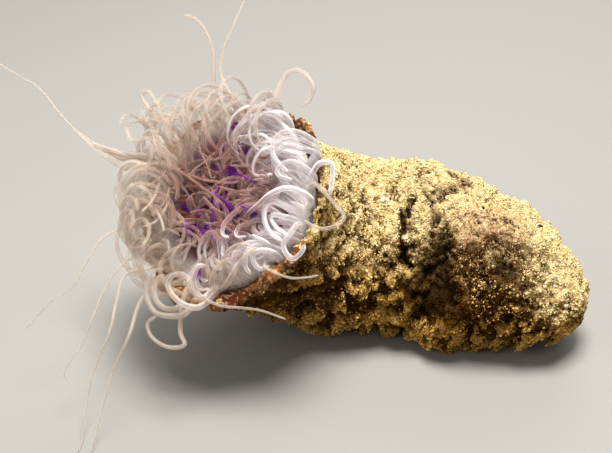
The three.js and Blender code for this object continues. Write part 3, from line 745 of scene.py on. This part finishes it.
steps = np.arange(MARGINAL_PLACES)
places = np.concatenate([(steps + shift) * 360 / MARGINAL_PLACES for shift in (0, 0.5, 0.25)])
row = np.repeat([0, 1, 2], MARGINAL_PLACES)
count = len(places)
places = places + chance.normal(0, 1.2, count)
clump = np.floor((places + chance.normal(0, 2, count)) / CLUMP).astype(int) % (360 // CLUMP)
clump_mood = chance.normal(0, 1, (360 // CLUMP + 1, 4))[clump]
facing_left = (row == 2) * smoothstep(0.35, 0.85, np.cos(np.radians(places - 170)))
pitch, yaw, turn, lean, length = [
    value + (inner - value) * facing_left
    for value, inner in zip(round_rim(places + chance.normal(0, 4, count), STANCES), INNER_LEFT)]
row_reach, row_size = np.array(MARGINAL_ROWS)[row].T
wild = round_rim(places, WILD)[0]
marginal_size = row_size * chance.uniform(0.88, 1.1, count) * round_rim(places, SLENDER)[0]
marginal, marginal_side = curled(
    places, row_reach + chance.normal(0, 0.4, count),
    pitch + 7 * row + 9 * clump_mood[:, 0] + wild * chance.normal(0, 5, count),
    yaw + 10 * clump_mood[:, 1] + wild * chance.normal(0, 9, count),
    turn + 24 * clump_mood[:, 2] + wild * chance.normal(0, 16, count),
    lean + 15 * clump_mood[:, 3] + wild * chance.normal(0, 9, count),
    length * row_size * (1 + 0.06 * clump_mood[:, 0] + chance.normal(0, 0.07, count)), MARGINAL_RINGS, 1.3)
empty = np.maximum(round_rim(places, EMPTY)[0], 0.45 * (row == 2) * (1 - facing_left))
kept = chance.random(count) > empty
marginal, marginal_side = marginal[kept], marginal_side[kept]
marginal_size, row = marginal_size[kept], row[kept]

# Where the rim is pressed in, some more grow lower down, on the side of the column: places, reach,
# depth below the rim, and the middle and spread of pitch, yaw, turn, lean and length.
LOW_PLACES = np.linspace(-106, -24, 16)
LOW_REACH = 37.8
LOW_SUNK = 7
LOW_STANCE = [(88, 4), (0, 5), (235, 16), (26, 8), (27, 2)]
chance = np.random.default_rng(16)
low_count = len(LOW_PLACES)
low_angles = LOW_PLACES + chance.normal(0, 1, low_count)
low_marginal, low_side = curled(
    low_angles, np.full(low_count, LOW_REACH), *[chance.normal(*spread, low_count) for spread in LOW_STANCE],
    MARGINAL_RINGS, 1.9, LOW_SUNK)
marginal = pressed(np.vstack([marginal, low_marginal]))
marginal_side = np.vstack([marginal_side, low_side])
marginal_size = np.append(marginal_size, np.ones(low_count))
row = np.append(row, np.zeros(low_count, dtype=int))


# ---- Labial tentacles --------------------------------------------------------------------------
# Round the mouth a second whorl of short, thin tentacles makes a mauve tangle, with a few violet
# ones in it. The outer ones lean back towards the mouth, and none reaches over the rim.
LABIAL_COUNT = 210
LABIAL_RINGS = 14
LABIAL_SIDES = 6
LABIAL_REACH = (7.5, 27)
LABIAL_LEAN_BACK = 19
LABIAL_LIMIT = 29
LABIAL_SUNK = 4.5
VIOLET_SHARE = 0.1
GOLDEN_TURN = 0.381966
chance = np.random.default_rng(9)
labial_angles = np.arange(LABIAL_COUNT) * 360 * GOLDEN_TURN + chance.normal(0, 5, LABIAL_COUNT)
labial_reach = np.sqrt(chance.uniform(LABIAL_REACH[0] ** 2, LABIAL_REACH[1] ** 2, LABIAL_COUNT))
labial_pitch = chance.uniform(50, 110, LABIAL_COUNT)
labial_yaw = chance.normal(0, 60, LABIAL_COUNT) + 180 * (labial_reach > LABIAL_LEAN_BACK)
labial_turn = chance.normal(150, 90, LABIAL_COUNT)
labial_lean = chance.normal(0, 50, LABIAL_COUNT)
labial_length = chance.uniform(15, 25, LABIAL_COUNT)
labial, labial_side = curled(labial_angles, labial_reach, labial_pitch, labial_yaw, labial_turn, labial_lean,
                             labial_length, LABIAL_RINGS, 1.5, LABIAL_SUNK)
labial_violet = 0.9 * (chance.random(LABIAL_COUNT) < VIOLET_SHARE)
labial_out = np.linalg.norm(labial[..., :2], axis=-1, keepdims=True)
labial[..., :2] *= np.minimum(1, (LABIAL_LIMIT + 0.15 * (labial_out - LABIAL_LIMIT)) / labial_out)


# ---- Long tentacles, and the few that cross the disc -------------------------------------------
# Some outer tentacles stretch out fine and long to fish; others fall across the disc or knot
# together on the left. Each starts at the rim and runs through a few points.
LONG_RINGS = 60
LONG_SIDES = 8
RIM_PLACES = 64
# Reach from the mouth's axis and height of the root, the rim and the first rise.
LONG_ROOT = [(36.5, -1.2), (37.6, 2), (43.5, 8)]
SHEAF_ROOT = [(27, -3), (26, 6)]
# Out in the open, in mm from the frame's origin: place on the rim in 64ths, thickness at root and
# tip, and points.
LONG_LINES = {
    "whip_left": (28, 0.85, 0.38, [
        (-113, -13, 91), (-122, -9, 94), (-134, 1, 102), (-144, 11, 109), (-156, 19, 112),
        (-166, 27, 114)]),
    "whip_front_long": (41, 1.1, 0.36, [
        (-95, -65, 50), (-98, -83, 46), (-105, -87, 31), (-110, -93, 17), (-114, -101, 4.5),
        (-115, -108, 0.5), (-113, -120, 0.5)]),
    "whip_front_second": (39, 1.1, 0.36, [
        (-102, -57, 57), (-105, -67, 50), (-107, -77, 43), (-113, -81, 30), (-117, -86, 18),
        (-119, -93, 6.5), (-120, -101, 0.5), (-123, -112, 0.5)]),
    "whip_front_thin": (37, 0.85, 0.36, [
        (-105, -54, 58), (-111, -60, 51), (-116, -70, 42), (-120, -74, 33), (-125, -77, 27),
        (-128, -79, 21), (-125, -82, 16)]),
    "whip_side_thin": (34, 0.85, 0.36, [
        (-112, -42, 66), (-119, -50, 59), (-125, -56, 50), (-136, -58, 42), (-147, -61, 30)]),
    "whip_top": (17, 1.2, 0.8, [
        (-65, -7, 125), (-65, -3, 134), (-68, 1, 141), (-72, 4, 145), (-77, 6, 146)]),
    "whip_top_second": (15, 0.9, 0.5, [
        (-62, -5, 124), (-61, 1, 132), (-56, 8, 142), (-52, 15, 149)]),
    "loop_top": (10, 1.5, 1.05, [
        (-36, -17, 127), (-32, -16, 131), (-27, -19, 132), (-23, -24, 129), (-24, -25, 124),
        (-28, -26, 120)]),
    "drape_right": (0, 1.3, 0.7, [
        (-14, -63, 96), (-11, -67, 93), (-15, -70, 91), (-21, -70, 90), (-27, -66, 91)]),
    "trail_right": (54, 0.9, 0.45, [
        (-34, -78, 72), (-28, -80, 73), (-21, -79, 73.5)]),
    "trail_front": (46.5, 0.9, 0.4, [
        (-61, -78, 57.5), (-52, -79, 57), (-44, -82, 58), (-34, -85, 56)]),
    "loop_front": (44, 1.3, 0.8, [
        (-78, -76, 43), (-76, -82, 40), (-83, -81, 38), (-90, -76, 39), (-92, -72, 43), (-88, -72, 47)]),
    "bow_top_left": (23, 1.3, 1.0, [
        (-97, 0, 110), (-94, 0, 113), (-90, -5, 110), (-87, -7, 107)])}
# Close over the disc, in mm across, upward and out from the mouth: thickness at root and tip, and
# the points.
NEAR_LINES = {
    "across": (0.9, 0.5, [
        (-55, 25, 14), (-41, 20, 15), (-25, 14, 15), (-17, 11, 16), (-10, 8, 17), (-3, 5, 17), (2, 4, 16),
        (8, 3, 15), (12, 4, 12)]),
    "branch": (0.8, 0.5, [
        (-41, 21, 15), (-29, 15, 17), (-17, 11, 18), (-10, 7, 18), (-2, 1, 19), (3, -3, 18), (6, -7, 15),
        (5, -10, 10)]),
    "fork": (0.55, 0.35, [
        (-9, 30, 9), (-9, 28, 12), (-8, 23, 14), (-5, 17, 16), (-1, 11, 18), (1, 5, 18)]),
    "fork_twig": (0.4, 0.25, [
        (-7, 22, 14), (-8, 20, 15), (-10, 18, 14), (-11, 16, 12)]),
    "stub": (0.9, 0.5, [
        (0, -18, -1), (-1, -14, 4), (0, -10, 8), (-1, -6, 12), (-3, -3, 14), (-5, -1, 14)]),
    "bow": (1.3, 0.8, [
        (-4, -31, -1), (0, -27, 7), (2, -22, 12), (2, -18, 15), (0, -17, 16), (-4, -19, 15),
        (-7, -23, 13), (-8, -27, 10)]),
    "spiral": (1.6, 0.9, [
        (-4, -36, -1), (-8, -45, 7), (-12, -46, 11), (-17, -43, 13), (-20, -38, 15), (-18, -34, 16),
        (-14, -33, 16), (-10, -35, 16), (-10, -37, 16), (-13, -37, 15)]),
    "nested": (1.6, 0.9, [
        (-12, -35, -1), (-16, -47, 6), (-21, -49, 9), (-29, -47, 10), (-32, -41, 12), (-31, -36, 14),
        (-28, -31, 15), (-23, -30, 14)]),
    "nested_within": (1.5, 0.9, [
        (-15, -33, -1), (-19, -44, 6), (-23, -46, 10), (-27, -43, 12), (-28, -38, 13), (-26, -34, 14),
        (-23, -32, 13)]),
    "arch": (1.5, 0.95, [
        (36, -6, -1), (40, -5, 6), (38, -3, 12), (33, -2, 15), (26, -4, 15), (20, -7, 13), (14, -10, 11),
        (13, -12, 9)]),
    "coil_low": (1.5, 1.0, [
        (34, -13, -1), (34, -10, 5), (31, -8, 10), (26, -6, 12), (23, -8, 12), (22, -13, 11),
        (24, -18, 10), (29, -22, 9)]),
    "coil_low_within": (1.4, 1.0, [
        (33, -15, -1), (33, -13, 5), (30, -12, 9), (26, -11, 10), (24, -12, 9), (26, -16, 8),
        (30, -19, 6)]),
    "fold_outer": (1.4, 0.9, [
        (17, -25, -1), (18, -22, 6), (15, -22, 11), (10, -25, 12), (8, -30, 11), (8, -34, 9)]),
    "fold_middle": (1.4, 0.9, [
        (20, -26, -1), (20, -23, 6), (17, -23, 10), (14, -26, 11), (13, -31, 10), (14, -34, 7)]),
    "fold_inner": (1.4, 0.9, [
        (23, -27, -1), (24, -26, 6), (21, -25, 9), (17, -26, 10), (16, -29, 9), (18, -32, 7),
        (22, -31, 6)]),
    "hook_right": (1.4, 1.0, [
        (32, -14, -1), (34, -15, 6), (32, -19, 8), (29, -23, 8), (30, -27, 7), (33, -29, 7), (37, -27, 8),
        (39, -24, 9)]),
    "sweep_left": (1.3, 0.9, [
        (-5, 36, -1), (-7, 42, 6), (-10, 40, 12), (-17, 36, 12), (-27, 35, 11), (-38, 37, 11),
        (-45, 36, 11), (-45, 32, 11), (-42, 28, 11), (-39, 30, 11)]),
    "over_lip": (1.4, 1.0, [
        (37, 5, -1), (42, 5, 8), (46, 8, 10), (50, 8, 8), (50, 4, 6.5), (48.5, -4, 5.5)]),
    "lens": (0.8, 0.5, [
        (31, 20, -1), (25, 20, 11), (22, 22, 14), (16, 22, 15), (11, 22, 14), (14, 20, 13), (19, 18, 12),
        (24, 18, 12)]),
    "ring_within": (1.2, 0.8, [
        (33, 16, -1), (25, 17, 10), (22, 16, 13), (19, 13, 13), (17, 9, 12), (18, 6, 11), (25, 6, 10)]),
    "coil_middle": (1.4, 0.9, [
        (36, 1, -1), (41, 4, 4), (38, 8, 9), (33, 10, 11), (28, 8, 11), (28, 5, 10), (33, 3, 8)]),
    "coil_high": (1.5, 0.9, [
        (35, 10, -1), (43, 16, 6), (40, 20, 12), (33, 22, 14), (27, 19, 13), (26, 14, 12), (29, 9, 11),
        (32, 6, 10)]),
    "roll_left": (1.5, 0.9, [
        (-34, -13, -1), (-43, -15, 7), (-41, -10, 12), (-36, -3, 15), (-29, 1, 16), (-22, 1, 16),
        (-19, -4, 15), (-19, -11, 13)]),
    "fold_bottom": (1.4, 0.9, [
        (-6, -36, -1), (-8, -42, 7), (-10, -39, 10), (-10, -35, 12), (-7, -30, 13), (-4, -30, 12)]),
    "loop_left": (1.3, 0.9, [
        (-36, -2, -1), (-45, -3, 5), (-49, 1, 10), (-49, 7, 13), (-43, 10, 13), (-38, 8, 10)])}
# Those that lie several side by side: how many, and the step from one to the next.
SIDE_BY_SIDE = {"bow": (2, (1.8, 0.6, -1.5)),
                "coil_high": (3, (-0.4, -2.6, -1.5)),
                "roll_left": (2, (-2.4, -1.6, -1.6)),
                "fold_bottom": (2, (-2.4, 0.4, -1.4))}
# The sheaf of tentacles that draws together on the left into the longest: places on the rim, how far
# along the longest each ends, the points they pass over, and where they begin to join it.
SHEAF_PLACES = [24.4, 25.4, 26.2, 27.1, 29, 30.1, 31.2, 32]
SHEAF_ENDS = [0.29, 0.33, 0.39, 0.27, 0.45, 0.31, 0.35, 0.26]
SHEAF_TOP = [(-27, 14, 13), (-37, 18, 15.5)]
SHEAF_JOINS = 0.18
SHEAF_THICK, SHEAF_THIN = 1.5, 0.5


def root_at(place, heights):
    """Points above each other at a place on the rim, by their reach and height."""
    angle = place * math.tau / RIM_PLACES
    ray = np.array([math.cos(angle), math.sin(angle), 0])
    return np.array([ray * out + (0, 0, up) for out, up in heights])


long_names, long_lines, long_radii = [], [], []
shares_along = np.linspace(0, 1, LONG_RINGS)
for name, (rim_place, thick, thin, points) in LONG_LINES.items():
    root = pressed(root_at(rim_place, LONG_ROOT))
    long_names.append(name)
    long_lines.append(smooth_curve(np.vstack([root, from_mouth(points)]), LONG_RINGS))
    long_radii.append(thick + (thin - thick) * shares_along ** 0.8)
for name, (thick, thin, points) in NEAR_LINES.items():
    copies, step = SIDE_BY_SIDE.get(name, (1, (0, 0, 0)))
    for copy in range(copies):
        shift = np.array(step) * copy * smoothstep(0, 2, np.arange(len(points)))[:, None]
        long_names.append(name)
        long_lines.append(smooth_curve(np.array(points) + shift, LONG_RINGS))
        long_radii.append(thick + (thin - thick) * shares_along)
longest = long_lines[0]
for k, (rim_place, end) in enumerate(zip(SHEAF_PLACES, SHEAF_ENDS)):
    aside = np.array([math.cos(2.2 * k), 1.4 * math.sin(2.2 * k), 0.7 * math.sin(1.3 * k)])
    over = [np.array(spot) + 2.2 * aside for spot in SHEAF_TOP]
    joining = [longest[round(LONG_RINGS * (SHEAF_JOINS + (end - SHEAF_JOINS) * share))]
               + aside * (2.4 - 1.7 * share) for share in (0, 0.5, 1)]
    long_names.append("sheaf")
    long_lines.append(smooth_curve(np.vstack([root_at(rim_place, SHEAF_ROOT), over, joining]), LONG_RINGS))
    long_radii.append(SHEAF_THICK + (SHEAF_THIN - SHEAF_THICK) * shares_along ** 2)
long_lines, long_radii = np.array(long_lines), np.array(long_radii)


# ---- Easing the tentacles apart ----------------------------------------------------------------
# Soft tentacles press against their neighbours, the lip and the disc, and give way. Their roots
# stay where they grow, and each keeps its length and most of its curl.
MARGINAL_THICK, MARGINAL_THIN = 1.42, 0.7
LABIAL_THICK, LABIAL_THIN = 0.92, 0.5
ROUNDS = 26
# How far away a neighbour is felt, and what share of an overlap one round clears, against still
# things and against other tentacles.
FELT_WITHIN = 3.2
CLEARED_STILL, CLEARED_SOFT = 0.9, 0.42
# How firmly each keeps its own curl, and how far out the disc holds the tentacles up.
STIFFNESS = 0.12
DISC_REACH = 37


def ease_apart(groups, thick, still, still_thick):
    """Push the lines of each group clear of each other and of still points, keeping their shape."""
    shapes = [group.shape for group in groups]
    points = np.vstack([group.reshape(-1, 3) for group in groups])
    sizes = np.concatenate([value.ravel() for value in thick])
    line, before, after, order = [], [], [], []
    first = lines = 0
    for count, rings, _ in shapes:
        index = first + np.arange(count * rings).reshape(count, rings)
        before.append(np.hstack([index[:, :1], index[:, :-1]]).ravel())
        after.append(np.hstack([index[:, 1:], index[:, -1:]]).ravel())
        line.append(np.repeat(lines + np.arange(count), rings))
        order.append(np.tile(np.arange(rings) / rings, count))
        first, lines = first + count * rings, lines + count
    line, before, after, order = (np.concatenate(value) for value in (line, before, after, order))
    free = smoothstep(0.03, 0.2, order)[:, None]
    spacing = np.linalg.norm(points - points[before], axis=1, keepdims=True)
    bend = points[before] + points[after] - 2 * points
    everything = np.vstack([points, still])
    all_sizes = np.concatenate([sizes, still_thick])
    all_lines = np.concatenate([line, np.full(len(still), -1)])
    for _ in range(ROUNDS):
        everything[:len(points)] = points
        tree = kdtree.KDTree(len(everything))
        for index, point in enumerate(everything):
            tree.insert(point, index)
        tree.balance()
        pairs = [(i, j) for i, point in enumerate(points) for _, j, _ in tree.find_range(point, FELT_WITHIN)]
        one, two = np.array(pairs).T
        apart = all_lines[one] != all_lines[two]
        one, two = one[apart], two[apart]
        gap = points[one] - everything[two]
        distance = np.maximum(np.linalg.norm(gap, axis=1), 0.05)
        overlap = np.maximum(all_sizes[one] + all_sizes[two] - distance, 0)
        overlap = overlap * np.where(all_lines[two] < 0, CLEARED_STILL, CLEARED_SOFT)
        push = np.zeros_like(points)
        np.add.at(push, one, gap / distance[:, None] * overlap[:, None])
        crowd = np.zeros(len(points))
        np.add.at(crowd, one, overlap > 0)
        push /= np.maximum(crowd, 1)[:, None] ** 0.5
        push = 0.4 * push + 0.3 * (push[before] + push[after])
        push += STIFFNESS * (points[before] + points[after] - 2 * points - bend)
        points = points + push * free
        reach = np.linalg.norm(points[:, :2], axis=1)
        lowest = np.interp(reach, body_rings[::-1, 0], body_rings[::-1, 1]) + sizes
        over_disc = (reach < DISC_REACH) & (order > 0.1)
        points[over_disc, 2] = np.maximum(points[over_disc, 2], lowest[over_disc])
        for _ in range(2):
            link = points - points[before]
            long = np.maximum(np.linalg.norm(link, axis=1, keepdims=True), 0.01)
            fix = 0.5 * link / long * (long - spacing) * (before != np.arange(len(points)))[:, None]
            points = points - fix * free
            points[before] += fix * free[before]
    ends = np.cumsum([count * rings for count, rings, _ in shapes])[:-1]
    return [part.reshape(shape) for part, shape in zip(np.split(points, ends), shapes)]


taper = np.linspace(0, 1, MARGINAL_RINGS)
marginal_radii = marginal_size[:, None] * (MARGINAL_THICK + (MARGINAL_THIN - MARGINAL_THICK) * taper ** 1.3)
labial_taper = LABIAL_THICK + (LABIAL_THIN - LABIAL_THICK) * np.linspace(0, 1, LABIAL_RINGS)
labial_radii = np.tile(labial_taper, (LABIAL_COUNT, 1))
lip_points = from_mouth(grid[2:WALL_RINGS + 26:2, ::3].reshape(-1, 3))
still_points = np.vstack([lip_points, long_lines[:, 6::2].reshape(-1, 3)])
still_sizes = np.concatenate([np.full(len(lip_points), 0.9), long_radii[:, 6::2].ravel()])
marginal, labial = ease_apart([marginal, labial], [marginal_radii, labial_radii], still_points, still_sizes)


# ---- The skin -----------------------------------------------------------------------------------
# All the tentacles are drawn out of the one skin of the body, each with a swelling at its root,
# a round tip, and paler lines along its inner and outer sides that are painted highlights of its edges.
# How far up a tentacle the swelling of its root fades, in mm, and how many thicknesses long the
# rounding of its tip is.
ROOT_FADES = 1.6
TIP_ROUND = 1.6
# Cells of the flat map: how many side by side, where they begin above the body's strip, and how
# much of its cell each tentacle fills.
CELL_COLUMNS = 20
CELLS_FROM = 0.16
CELL_WIDE, CELL_HIGH = 0.92, 0.94
THREADS = ("across", "branch", "fork", "fork_twig", "stub")
OPEN_WATER = ("whip", "sheaf", "loop", "trail", "drape")


def sweep(lines, radii, lateral, sides):
    """Rings of points round the lines, with their first side kept at the lateral direction."""
    heading = unit(np.gradient(lines, axis=1))
    cross = lateral
    rings = []
    angle = np.arange(sides) * math.tau / sides
    for k in range(lines.shape[1]):
        cross = unit(cross - np.sum(cross * heading[:, k], axis=1, keepdims=True) * heading[:, k])
        other = np.cross(heading[:, k], cross)
        around = cross[:, None] * np.cos(angle)[None, :, None] + other[:, None] * np.sin(angle)[None, :, None]
        rings.append(lines[:, k, None] + around * radii[:, k, None, None])
    return np.stack(rings, axis=1), heading


def add_tentacles(lines, radii, lateral, sides, cells, flare, **fields):
    """Draw tentacles out of the skin along their lines, each with its own cell of the flat map."""
    travelled = np.cumsum(np.linalg.norm(np.diff(lines, axis=1, prepend=lines[:, :1]), axis=2), axis=1)
    radii = radii * (1 + flare * np.exp(-travelled / ROOT_FADES))
    left = travelled[:, -1:] - travelled
    radii = radii * np.sqrt(np.clip(left / (TIP_ROUND * radii), 0.02, 1))
    rings, heading = sweep(lines, radii, lateral, sides)
    # The band marks two opposite sides of each tentacle, where painted highlights stand for its bright edges.
    band = np.abs(np.cos(np.arange(sides) * math.tau / sides))[None]
    share = (travelled / travelled[:, -1:])[..., None]
    for k, cell in enumerate(cells):
        ends = [lines[k, 0] - heading[k, 0] * 0.2, lines[k, -1] + heading[k, -1] * radii[k, -1] * 0.6]
        own = {name: np.asarray(value, dtype=float)[k] for name, value in fields.items()}
        near = smoothstep(31, 15, np.linalg.norm(rings[k][..., :2], axis=-1))
        own["mauve"] = np.maximum(own["mauve"], 0.75 * near)
        add_rings(rings[k], ends, cell, along=share[k], band=band, **own)


total = len(marginal) + len(labial) + len(long_lines)
cell_width, cell_height = 1 / CELL_COLUMNS, (1 - CELLS_FROM) / math.ceil(total / CELL_COLUMNS)
cells = [(k % CELL_COLUMNS * cell_width, CELLS_FROM + k // CELL_COLUMNS * cell_height,
          CELL_WIDE * cell_width, CELL_HIGH * cell_height) for k in range(total)]
marginal_cells, cells = cells[:len(marginal)], cells[len(marginal):]
labial_cells, long_cells = cells[:LABIAL_COUNT], cells[LABIAL_COUNT:]

# Tan and thickly veiled on the left and at the top, darkened there with painted shade, clear and white on the
# right.
across, upward = marginal[:, 0, 0], marginal[:, 0, 1]
to_left = smoothstep(30, -34, across)
to_bottom = smoothstep(-10, -35, upward) * smoothstep(20, -10, across)
at_top = smoothstep(4, 30, upward) * smoothstep(33, 12, across)
low_left = smoothstep(-2, -22, upward) * smoothstep(10, -20, across)
tan = np.clip(0.9 * to_left + 0.6 * to_bottom + chance.normal(0, 0.08, len(marginal)), 0, 1)
add_tentacles(marginal, marginal_radii, marginal_side, MARGINAL_SIDES, marginal_cells, 0.35,
              veil=np.maximum(at_top, 0.8 * low_left), beige=tan, mauve=0.25 * (row == 2) + 0.1,
              violet=np.zeros(len(marginal)))
labial_beige = chance.uniform(0.2, 0.8, LABIAL_COUNT)
add_tentacles(labial, labial_radii, labial_side, LABIAL_SIDES, labial_cells, 0.5, veil=np.zeros(LABIAL_COUNT),
              beige=labial_beige, mauve=chance.uniform(0.5, 1, LABIAL_COUNT), violet=labial_violet)
is_thread = np.array([name in THREADS for name in long_names])
is_open = np.array([name.startswith(OPEN_WATER) for name in long_names])
left_of_middle = np.maximum(5 - long_lines[:, 20, 0], 0)
long_side = np.tile([0.0, 0, 1], (len(long_lines), 1)) + 0.01
add_tentacles(long_lines, long_radii, long_side, LONG_SIDES, long_cells, 0.3,
              veil=np.where(is_open, 0.6, np.minimum(left_of_middle / 45, 0.6)),
              beige=np.where(is_thread | is_open, 0.9, np.minimum(left_of_middle / 28, 0.9)),
              mauve=np.where(is_thread, 0.35, 0.05), violet=np.zeros(len(long_names)))

points, faces, flat, values = [], [], [], {}
start = 0
for rings, ends, (left, bottom, wide, high), fields in skin_parts:
    count, around = rings.shape[:2]
    shape, corners = ringed_faces(count, around)
    points += [rings.reshape(-1, 3), np.array(ends)]
    faces += [[start + corner for corner in face] for face in shape]
    flat.append(corners * (wide, high) + (left, bottom))
    for name, value in fields.items():
        values.setdefault(name, []).append(with_poles(value, value[0, 0], value[-1, 0]))
    start += count * around + 2
skin_points = in_world(np.vstack(points))
skin_points[:, 2] = np.maximum(skin_points[:, 2], 0)
skin = new_piece("anemone_skin", skin_points, faces, np.vstack(flat))
mark(skin, **{name: np.concatenate(value) for name, value in values.items()})

# Pale, milky flesh, white on the right and tan on the left, rosy brown near the mouth, with purple
# in the vivid places.
flesh = Graph("tentacle_flesh")
band, beige, mauve, violet = (flesh.field(name) for name in ("band", "beige", "mauve", "violet"))
along, veil = flesh.field("along"), flesh.field("veil")
place = flesh.place()
mottle = flesh.grain(place, 120)
# Paler along the band: a painted highlight of each tentacle's bright edges.
edge = flesh.step(band, 0.62, 0.98)
right = flesh.blend(edge, (0.66, 0.61, 0.62), (0.97, 0.94, 0.96))
left = flesh.blend(edge, (0.66, 0.54, 0.435), (0.84, 0.715, 0.595))
pale = flesh.blend(beige, right, left)
# Veiled places are darkened towards tan as painted shade.
pale = flesh.blend(0.72 * veil, pale, (0.40, 0.315, 0.225))
brownish = flesh.step(mottle + 0.5 * beige, 0.45, 1.0)
inner = flesh.blend(brownish, (0.245, 0.057, 0.062), (0.25, 0.08, 0.04))
inner = flesh.blend(flesh.step(along, 0.0, 0.6), (0.12, 0.026, 0.036), inner)
purple = flesh.blend(flesh.step(mottle, 0.35, 0.6), (0.085, 0.001, 0.15), (0.19, 0.008, 0.27))
vivid = flesh.step(violet + 0.7 * flesh.grain(place, 220, 1), 0.75, 0.95)
tinted = flesh.blend(vivid, flesh.blend(mauve, pale, inner), purple)
# Clearest along each tentacle's flanks and at the left and the top, milky along its painted highlight lines.
milky = 0.36 + (0.44 - 0.26 * beige - 0.24 * veil) * edge + 0.15 * flesh.step(mauve, 0.6, 1.0)
# A faint glow in the flesh's own colour is painted light that lifts the shade between the tentacles.
skin.data.materials.append(flesh.finish(
    colour=tinted, roughness=0.5 + 0.25 * mauve, specular=0.2,
    normal=flesh.bump(0.25, 0.0003, flesh.grain(place, 900, 2)), alpha=milky - 0.12 * veil + 0.25 * vivid,
    subsurface=0.7, subsurface_scale=0.004, subsurface_radius=(1.0, 0.8, 0.75), coat=0.12 - 0.1 * mauve,
    coat_roughness=0.25, sheen=0.7, sheen_roughness=0.4, glow=tinted, glow_strength=0.11))
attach(skin, "root")
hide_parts(*[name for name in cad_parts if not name.startswith("tube_")])
